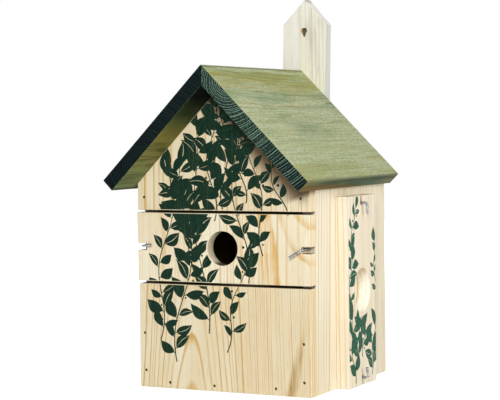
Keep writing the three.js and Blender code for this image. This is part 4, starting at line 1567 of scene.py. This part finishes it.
def film_mesh(grids, keep_in, hole, place):
    """Closed thin films from flat grids: points are held inside the board's printed area and outside its
    hole, small grids are dropped, and each grid gets an upper and a lower layer joined at its border."""
    held = [keep_out(keep_in(grid), hole) for grid in grids]
    held = [grid for grid in held if np.abs(quad_areas(grid)).sum() > SMALLEST_AREA
            and np.ptp(grid.reshape(-1, 2), axis=0).min() > SMALLEST_BREADTH]
    film = bpy.context.scene.nest_print.film
    points, faces, total = [], [], 0
    for grid, level in zip(held, film_levels(held)):
        top = film + level * LEVEL_STEP
        made, quads, _, _ = block(np.stack([place(grid, 0.0), place(grid, top)], axis=2))
        points.append(made)
        faces.append(quads + total)
        total += len(made)
    return np.concatenate(points), np.concatenate(faces)


def quad_areas(grid):
    one = grid[1:, 1:] - grid[:-1, :-1]
    other = grid[1:, :-1] - grid[:-1, 1:]
    return (one[..., 0] * other[..., 1] - one[..., 1] * other[..., 0]) / 2


def keep_out(grid, hole):
    """Points inside an oval hole move straight out to its rim."""
    if hole is None:
        return grid
    centre, radii = np.array(hole[:2]), np.array(hole[2:])
    away = (grid - centre) / radii
    length = np.maximum(np.linalg.norm(away, axis=-1, keepdims=True), 1e-9)
    return np.where(length < 1, centre + away / length * radii, grid)


def clear_of_hole(leaves, hole, margin):
    """Leaves whose middle lies well away from a hole."""
    middle = leaves[:, :2] + 0.55 * leaves[:, 3:4] * directions(leaves[:, 2])
    away = (middle - np.array(hole[:2])) / (np.array(hole[2:]) + margin)
    return leaves[np.linalg.norm(away, axis=1) > 1]


def print_grids(stems, half_width, height, seed, hole, margin, stem_width):
    """All flat grids of a print: leaves and berries clear of the hole, their stalks and the stems."""
    lines, leaves = rising_stems(stems, half_width, height, seed)
    leaves = clear_of_hole(leaves, hole, margin)
    strips = [strip_grid(line, stem_width) for line in lines]
    strips += [strip_grid(line, stem_width * 0.8) for line in stalk_lines(leaves)]
    return [*leaf_grid(leaves), *strips]


class NEST_OT_front_print(bpy.types.Operator):
    """Prints rising stems with leaves over the three front boards, cut where the boards part"""

    bl_idname = "nest.front_print"
    bl_label = "Front print"

    entrance_half_width = 79 * MM

    def execute(self, context):
        ink = print_material("front_ink", tuple(context.scene.nest_print.ink))
        gable_low, gable_high = corners("gable_front_board")
        reach = ENTRANCE_RADIUS + RIM_MARGIN
        hole = (0.0, middle_of("entrance_board")[2], reach, reach)
        grids = print_grids(FRONT_STEMS, gable_high[0], gable_high[2], 5, hole, 2 * MM, 1.1 * MM)

        def place(grid, out):
            y = np.full(grid.shape[:-1], gable_low[1] + PRINT_SINK - out)
            return np.stack([grid[..., 0], y, grid[..., 1]], -1)

        for name, body, node, rim in (
            ("gable_print", "box", "gable_front_board", None),
            ("entrance_print", "entrance_board", "entrance_board", hole),
            ("lower_print", "box", "lower_front_board", None),
        ):
            low, high = corners(node)
            side = self.entrance_half_width if rim else high[0] - OUTLINE_MARGIN
            slope = 1 if name == "gable_print" else 0

            def keep_in(grid):
                x = np.clip(grid[..., 0], -side, side)
                top = high[2] - slope * np.abs(x) - OUTLINE_MARGIN
                z = np.minimum(np.maximum(grid[..., 1], low[2] + OUTLINE_MARGIN), top)
                return np.stack([x, z], -1)

            points, faces = film_mesh(grids, keep_in, rim, place)
            add_piece(name, points, faces, ink, body)
        return {"FINISHED"}


class NEST_OT_side_print(bpy.types.Operator):
    """Prints rising stems with leaves on the outer face of the spare board"""

    bl_idname = "nest.side_print"
    bl_label = "Side print"

    def execute(self, context):
        ink = print_material("side_ink", tuple(context.scene.nest_print.side_ink))
        low, high = corners("spare_entrance_board")
        half_length, half_breadth = SPARE_HOLE
        hole = (0.0, (low[2] + high[2]) / 2, half_breadth + RIM_MARGIN, half_length + RIM_MARGIN)
        grids = print_grids(SPARE_STEMS, high[1], high[2], 12, hole, 0.0, 1.2 * MM)

        def keep_in(grid):
            return np.clip(grid, low[1:] + OUTLINE_MARGIN, high[1:] - OUTLINE_MARGIN)

        def place(grid, out):
            x = np.full(grid.shape[:-1], high[0] - PRINT_SINK + out)
            return np.stack([x, grid[..., 0], grid[..., 1]], -1)

        points, faces = film_mesh(grids, keep_in, hole, place)
        add_piece("spare_print", points, faces, ink, "spare_board")
        return {"FINISHED"}


# Stage

class NEST_OT_stage(bpy.types.Operator):
    """Sets the camera, the soft lamps, the even sky and the pale floor"""

    bl_idname = "nest.stage"
    bl_label = "Stage"

    aim = Vector((0, 0, 0.17))

    def execute(self, context):
        stage = context.scene.nest_stage
        context.scene.camera = self.camera(stage)
        self.lamp("front_lamp", (0.65, -1.68, 0.74), 0.4, stage.front_power)
        self.lamp("side_lamp", (1.70, -0.25, 0.55), 0.9, stage.side_power)
        self.lamp("rear_lamp", (-1.30, 1.25, 1.00), 1.0, stage.rear_power)
        context.scene.world = self.sky(stage.sky)
        self.floor()
        context.scene.view_settings.view_transform = "Standard"
        return {"FINISHED"}

    def camera(self, stage):
        """The camera looks along its yaw and pitch and is rolled about that line."""
        data = bpy.data.cameras.new("camera")
        data.lens = stage.lens
        data.sensor_width = 36
        data.sensor_fit = "HORIZONTAL"
        data.clip_start, data.clip_end = 0.01, 50
        camera = new_object("camera", data)
        yaw, pitch, roll = stage.yaw, stage.pitch, stage.roll
        ahead = Vector((-math.sin(yaw) * math.cos(pitch), math.cos(yaw) * math.cos(pitch),
                        math.sin(pitch)))
        right = Vector((math.cos(yaw), math.sin(yaw), 0))
        up = right.cross(ahead)
        rolled = math.cos(roll) * right + math.sin(roll) * up
        rolled_up = -math.sin(roll) * right + math.cos(roll) * up
        turn = Matrix((rolled, rolled_up, -ahead)).transposed().to_4x4()
        camera.matrix_world = Matrix.Translation(Vector(stage.camera_place)) @ turn
        return camera

    def lamp(self, name, place, size, power):
        """A square soft lamp that looks at the middle of the box."""
        data = bpy.data.lights.new(name, "AREA")
        data.size = size
        data.energy = power
        lamp = new_object(name, data)
        lamp.location = place
        lamp.rotation_euler = (self.aim - Vector(place)).to_track_quat("-Z", "Y").to_euler()

    def seen(self, nodes, kind):
        """One for rays that come from the camera or are of this kind, else zero."""
        rays = nodes.add("ShaderNodeLightPath").outputs
        return Value(nodes, rays["Is Camera Ray"]).larger(Value(nodes, rays[kind]))

    def sky(self, strength):
        """Even light from all sides, seen as white by the camera."""
        world = bpy.data.worlds.new("sky")
        world.use_nodes = True
        nodes = Nodes(world.node_tree)
        background = world.node_tree.nodes["Background"]
        background.inputs["Color"].default_value = (1, 1, 1, 1)
        seen = self.seen(nodes, "Is Transmission Ray")
        nodes.feed(background.inputs["Strength"], seen.ramp(0.0, 1.0, strength, 1.0))
        return world

    def floor(self):
        """A pale round floor that keeps the box's shadow near it and fades to white further out."""
        rings, columns, radius, below = 96, 12, 2.6, 0.1 * MM
        angle = np.linspace(0, 2 * np.pi, rings, endpoint=False)[:, None]
        reach = np.linspace(0, 1, columns)[None, :] ** 1.5 * radius
        z = np.full((rings, columns), -below)
        points = np.stack([reach * np.cos(angle), reach * np.sin(angle), z], -1)
        mesh = new_mesh("floor", points, tube_faces(rings, columns).tolist())
        join_points(mesh, 1e-6, outwards=False)
        look = Look("pale_floor")
        away = look.where.length().ramp(0.3, 0.9, 0.6, 1.0)
        seen = self.seen(look.nodes, "Is Glossy Ray")
        look.feed({"Base Color": (0.86, 0.86, 0.86), "Roughness": 0.9, "Specular IOR Level": 0.1,
                   "Emission Color": (1, 1, 1), "Emission Strength": seen * away})
        mesh.materials.append(look.material)
        floor = new_object("floor", mesh)


class NEST_PT_panel(bpy.types.Panel):
    """Lists the steps that build the nest box"""

    bl_idname = "NEST_PT_panel"
    bl_label = "Nest box"
    bl_space_type = "VIEW_3D"
    bl_region_type = "UI"
    bl_category = "Nest box"

    def draw(self, context):
        for step in STEPS:
            self.layout.operator(step.bl_idname)


SETTINGS = {
    "nest_boards": BoardSettings,
    "nest_wood": WoodSettings,
    "nest_stain": StainSettings,
    "nest_print": PrintSettings,
    "nest_wire": WireSettings,
    "nest_stage": StageSettings,
}
STEPS = (
    NEST_OT_stage,
    NEST_OT_lower_board,
    NEST_OT_gable_board,
    NEST_OT_entrance_board,
    NEST_OT_spare_board,
    NEST_OT_side_walls,
    NEST_OT_rear_wall,
    NEST_OT_floor,
    NEST_OT_roof,
    NEST_OT_batten,
    NEST_OT_hooks,
    NEST_OT_nails,
    NEST_OT_screws,
    NEST_OT_front_print,
    NEST_OT_side_print,
)


def register():
    for made in (*SETTINGS.values(), *STEPS, NEST_PT_panel):
        bpy.utils.register_class(made)
    for name, settings in SETTINGS.items():
        setattr(bpy.types.Scene, name, PointerProperty(type=settings))


def unregister():
    for name in SETTINGS:
        delattr(bpy.types.Scene, name)
    for made in reversed((*SETTINGS.values(), *STEPS, NEST_PT_panel)):
        bpy.utils.unregister_class(made)


def main():
    register()
    for step in STEPS:
        category, name = step.bl_idname.split(".")
        getattr(getattr(bpy.ops, category), name)()


if __name__ == "__main__":
    main()
